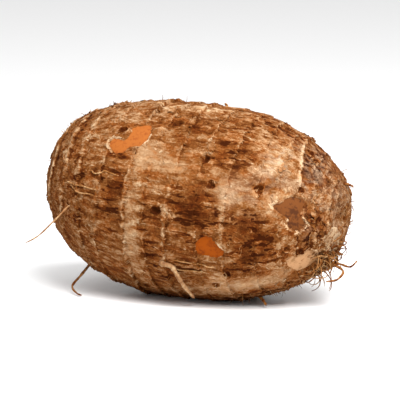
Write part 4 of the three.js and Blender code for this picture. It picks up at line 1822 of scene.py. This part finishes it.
@dataclass(frozen=True)
class Hairs:
    """Fine wiry hairs that stand off the skin and curl.

    Each is a path whose direction turns steadily, with a slow random swing, and falls a
    little toward the floor.
    """

    husk: Husk
    count: int = 320
    seed: int = 31
    steps: int = 16
    sides: int = 3
    radius: float = 0.11
    taper: tuple[float, float] = (1.3, 0.5)
    upright: tuple[float, float, float] = (0.31, 0.23, 0.92)
    spare: float = 1.2

    def build(self) -> Patchwork:
        """Builds the hairs as three-sided tubes: those spread all over, and the clumps."""
        rng = np.random.default_rng(self.seed)
        length = self.husk.form.length
        count = self.count
        paths = [self.paths(
            rng, rng.uniform(4.0, length - 3.0, count), rng.uniform(-pi, pi, count),
            1.5 + 4.5 * rng.random(count) ** 2.4, 2.4)]
        thick = [np.ones(count)]
        for clump in CLUMPS:
            along = np.clip(rng.normal(*clump.along, clump.count), 3.0, length - 3.0)
            round_ = np.radians(rng.normal(*clump.round_degrees, clump.count))
            lengths = rng.uniform(*clump.length, clump.count)
            paths.append(self.paths(rng, along, round_, lengths, clump.bend))
            thick.append(np.full(clump.count, clump.thick))
        paths = np.concatenate(paths)
        low, high = (np.array(corner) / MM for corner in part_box(NODE))
        inside = np.all((paths > low - self.spare) & (paths < high + self.spare), axis=(1, 2))
        inside &= np.all(paths[..., 2] > 0.4, axis=1)
        paths = paths[inside]
        taper = self.radius * np.linspace(*self.taper, self.steps)
        radius = taper * np.concatenate(thick)[inside, None]
        rings = tube_rings(paths, np.array(self.upright), radius, self.sides)
        tone = np.clip(rng.normal(0.56, 0.16, len(paths)), 0, 1)[:, None, None]
        tone = np.broadcast_to(tone, rings.shape[:3])
        return closed_tubes(rings, {"tone": tone, "grey": np.zeros(rings.shape[:3])})

    def paths(
        self, rng: np.random.Generator, along: Array, round_: Array, length: Array, bend: float,
    ) -> Array:
        """Grows hairs from their places.

        Args:
            rng: the source of random draws.
            along: distances along the skin.
            round_: angles round the corm.
            length: the hairs' lengths.
            bend: how far they curl, in radians, as a standard deviation.

        Returns:
            Paths with axes (hair, step, 3).
        """
        form = self.husk.form
        count = len(along)
        start, normal = form.at(along, round_, self.husk.height(along, round_) - 0.3)
        forward = form.at(along + 1.0, round_)[0] - form.at(along, round_)[0]
        lean = rng.normal(0.9, 0.5, count)[:, None]
        heading = normal * 0.4 + forward * lean + rng.normal(0, 0.45, (count, 3))
        axis = rng.normal(0, 1, (count, 3))
        axis /= np.linalg.norm(axis, axis=1, keepdims=True)
        turns = bend * rng.uniform(0.35, 1.25, (count, 1)) * rng.choice([-1.0, 1.0], (count, 1))
        points = [start]
        for step in range(1, self.steps):
            swing = turns * step / self.steps
            turned = heading * np.cos(swing) + np.cross(axis, heading) * np.sin(swing)
            turned = turned + np.array([0.0, 0.0, -0.15]) * step / self.steps
            turned /= np.linalg.norm(turned, axis=1, keepdims=True)
            points.append(points[-1] + turned * length[:, None] / (self.steps - 1))
        return np.stack(points, axis=1)


@dataclass(frozen=True)
class LooseRoots:
    """Thin dead roots that lie on the skin, each a tube along places on it.

    Each path goes through its places by straight steps rounded by averaging, and stands a
    radius above the skin, sinking in at both ends.
    """

    husk: Husk
    routes: tuple[tuple[tuple[float, float], ...], ...] = (
        ((43.0, 10.0), (44.9, 10.0), (48.9, 9.0), (53.7, 9.6), (59.5, 9.0), (63.0, 9.8)),
        ((45.6, 9.0), (47.9, 6.6), (51.9, 4.4), (57.5, 5.7), (62.9, 5.2)),
        ((54.0, 19.5), (57.0, 21.0), (59.0, 18.6), (62.0, 19.4), (64.0, 22.0), (68.0, 20.6),
         (73.0, 19.8)),
        ((98.0, -26.0), (105.0, -27.2), (112.0, -27.8), (119.0, -29.7)),
        ((95.0, -32.0), (102.0, -33.7), (109.0, -33.0), (116.0, -34.4)),
        ((40.0, 120.0), (50.0, 124.0), (60.0, 121.0), (70.0, 126.0)),
        ((100.0, 150.0), (110.0, 147.0), (118.0, 153.0), (128.0, 151.0)),
        ((60.0, 215.0), (72.0, 219.0), (80.0, 214.0)),
    )
    radius: float = 0.3
    sides: int = 6
    steps: int = 36
    roundings: int = 8

    def build(self) -> Patchwork:
        """Builds the tubes, tapered to both ends."""
        routes = [np.array(route) for route in self.routes]
        t = np.linspace(0.0, 1.0, self.steps)
        places = np.stack([
            np.stack([np.interp(t, np.linspace(0, 1, len(route)), part) for part in route.T], -1)
            for route in routes])
        for _ in range(self.roundings):
            places[:, 1:-1] = (places[:, :-2] + 2 * places[:, 1:-1] + places[:, 2:]) / 4
        along, round_ = places[..., 0], np.radians(places[..., 1])
        order = np.arange(len(routes))[:, None]
        lift = self.radius * (0.8 + 0.9 * np.sin(9 * t + 2.3 * order)) - 1.2 * (2 * t - 1) ** 8
        paths, normals = self.husk.form.at(along, round_, self.husk.height(along, round_) + lift)
        size = self.radius * (1.15 - 0.5 * (2 * t - 1) ** 4 + 0.15 * np.sin(37 * t + order))
        rings = tube_rings(paths, normals, size, self.sides)
        tone = 0.68 + 0.1 * np.sin(11 * t + 1.3 * order)
        tone = np.broadcast_to(tone[..., None], rings.shape[:3])
        return closed_tubes(rings, {"tone": tone, "grey": np.zeros(rings.shape[:3])})


# The whole corm and its surroundings


@dataclass(frozen=True)
class Corm:
    """The whole dressed corm."""

    husk: Husk
    coats: int = 3
    fibres: int = 5200
    first_seed: int = 41

    def build(self) -> None:
        """Builds and dresses every piece."""
        husk = self.husk
        cork = HuskFinish("taro_cork_skin").material()
        fibre = HuskFinish("taro_husk_fibre", bump_mm=0.15).material()
        root = DryRoot("taro_dry_root").material()
        skin = Skin(husk).build().to_object("skin", cork)
        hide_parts(NODE)
        PaperSheets(husk).build().to_object("paper_sheets", cork)
        coats = {
            f"husk_fibre_{k + 1}": FibreCoat(husk, self.fibres, self.first_seed + k)
            for k in range(self.coats)}
        coats["ring_fringe"] = RingFringe(husk)
        coats["flakes"] = Flakes(husk)
        coats["patch_rims"] = PatchRims(husk)
        for name, coat in coats.items():
            coat.strands().build(husk).to_object(name, fibre, smooth=False)
        for patch in PATCHES:
            BareSpot(husk, patch).build().to_object(patch.name, TISSUES[patch.name].material())
        ScarCups(husk).build().to_object("root_scars", fibre)
        Rootlets(husk).build().to_object("rootlets", root)
        LooseRoots(husk).build().to_object("loose_roots", root)
        Hairs(husk).build().to_object("hairs", root)


@dataclass(frozen=True)
class Softbox:
    """A square studio light that faces the corm."""

    name: str
    azimuth: float
    elevation: float
    distance: float
    size: float
    power: float


@dataclass(frozen=True)
class Studio:
    """A white table, soft lights and the photograph's camera."""

    azimuth: float = radians(26.0)
    elevation: float = radians(10.0)
    distance: float = 2500.0
    target: tuple[float, float, float] = (-2.3, 0.1, 41.9)
    sensor: float = 36.0
    photo_pixels: float = 400.0
    mm_per_photo_pixel: float = 0.87
    closer: float = 2.0
    floor_size: float = 9000.0
    floor_colour: str = "f6f6f6"
    floor_roughness: float = 0.28
    sky_colour: str = "ffffff"
    sky_strength: float = 0.6
    sight_metres: float = 20.0
    softboxes: tuple[Softbox, ...] = (
        Softbox("key", 50.0, 52.0, 900.0, 600.0, 20.0),
        Softbox("fill", -40.0, 70.0, 1000.0, 700.0, 4.0),
    )

    def direction(self, azimuth: float, elevation: float) -> Vector:
        """The unit vector from the corm toward a view angle."""
        flat = cos(elevation)
        return Vector((sin(azimuth) * flat, -cos(azimuth) * flat, sin(elevation)))

    def aim(
        self, thing: bpy.types.Object, azimuth: float, elevation: float, distance: float,
    ) -> None:
        """Stands a camera or light at an angle and distance, facing the target."""
        away = self.direction(azimuth, elevation)
        thing.location = (Vector(self.target) + away * distance) * MM
        thing.rotation_euler = away.to_track_quat("Z", "Y").to_euler()
        bpy.context.scene.collection.objects.link(thing)

    def build(self) -> None:
        """Builds the table, the lights, the sky and the camera."""
        half = self.floor_size * MM / 2
        mesh = bpy.data.meshes.new("table")
        corners = [(-half, -half, 0), (half, -half, 0), (half, half, 0), (-half, half, 0)]
        mesh.from_pydata(corners, [], [(0, 1, 2, 3)])
        table = bpy.data.objects.new("table", mesh)
        bpy.context.scene.collection.objects.link(table)
        surface = bpy.data.materials.new("white_gloss_laminate")
        surface.use_nodes = True
        shader = surface.node_tree.nodes["Principled BSDF"]
        shader.inputs["Base Color"].default_value = to_linear(self.floor_colour)
        shader.inputs["Roughness"].default_value = self.floor_roughness
        mesh.materials.append(surface)
        for box in self.softboxes:
            light = bpy.data.lights.new(box.name, "AREA")
            light.size = box.size * MM
            light.energy = box.power
            lamp = bpy.data.objects.new(box.name, light)
            self.aim(lamp, radians(box.azimuth), radians(box.elevation), box.distance)
        world = bpy.data.worlds.new("studio")
        bpy.context.scene.world = world
        world.use_nodes = True
        sky = world.node_tree.nodes["Background"]
        sky.inputs["Color"].default_value = to_linear(self.sky_colour)
        sky.inputs["Strength"].default_value = self.sky_strength
        bpy.context.scene.view_settings.view_transform = "Standard"
        lens = bpy.data.cameras.new("photograph")
        lens.sensor_width = self.sensor
        across = self.mm_per_photo_pixel * self.photo_pixels / self.closer
        lens.lens = self.sensor * self.distance / across
        lens.clip_end = self.sight_metres
        camera = bpy.data.objects.new("photograph", lens)
        self.aim(camera, self.azimuth, self.elevation, self.distance)
        bpy.context.scene.camera = camera


def main() -> None:
    """Builds the corm and the studio."""
    logging.basicConfig(level=logging.INFO, format="%(message)s")
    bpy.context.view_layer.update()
    form = CormForm()
    ring_set = RingSet()
    husk = Husk(form, ring_set, ScarSet().scars(ring_set.rings), SkinNoise(form, seed=7))
    Corm(husk).build()
    Studio().build()


if __name__ == "__main__":
    main()
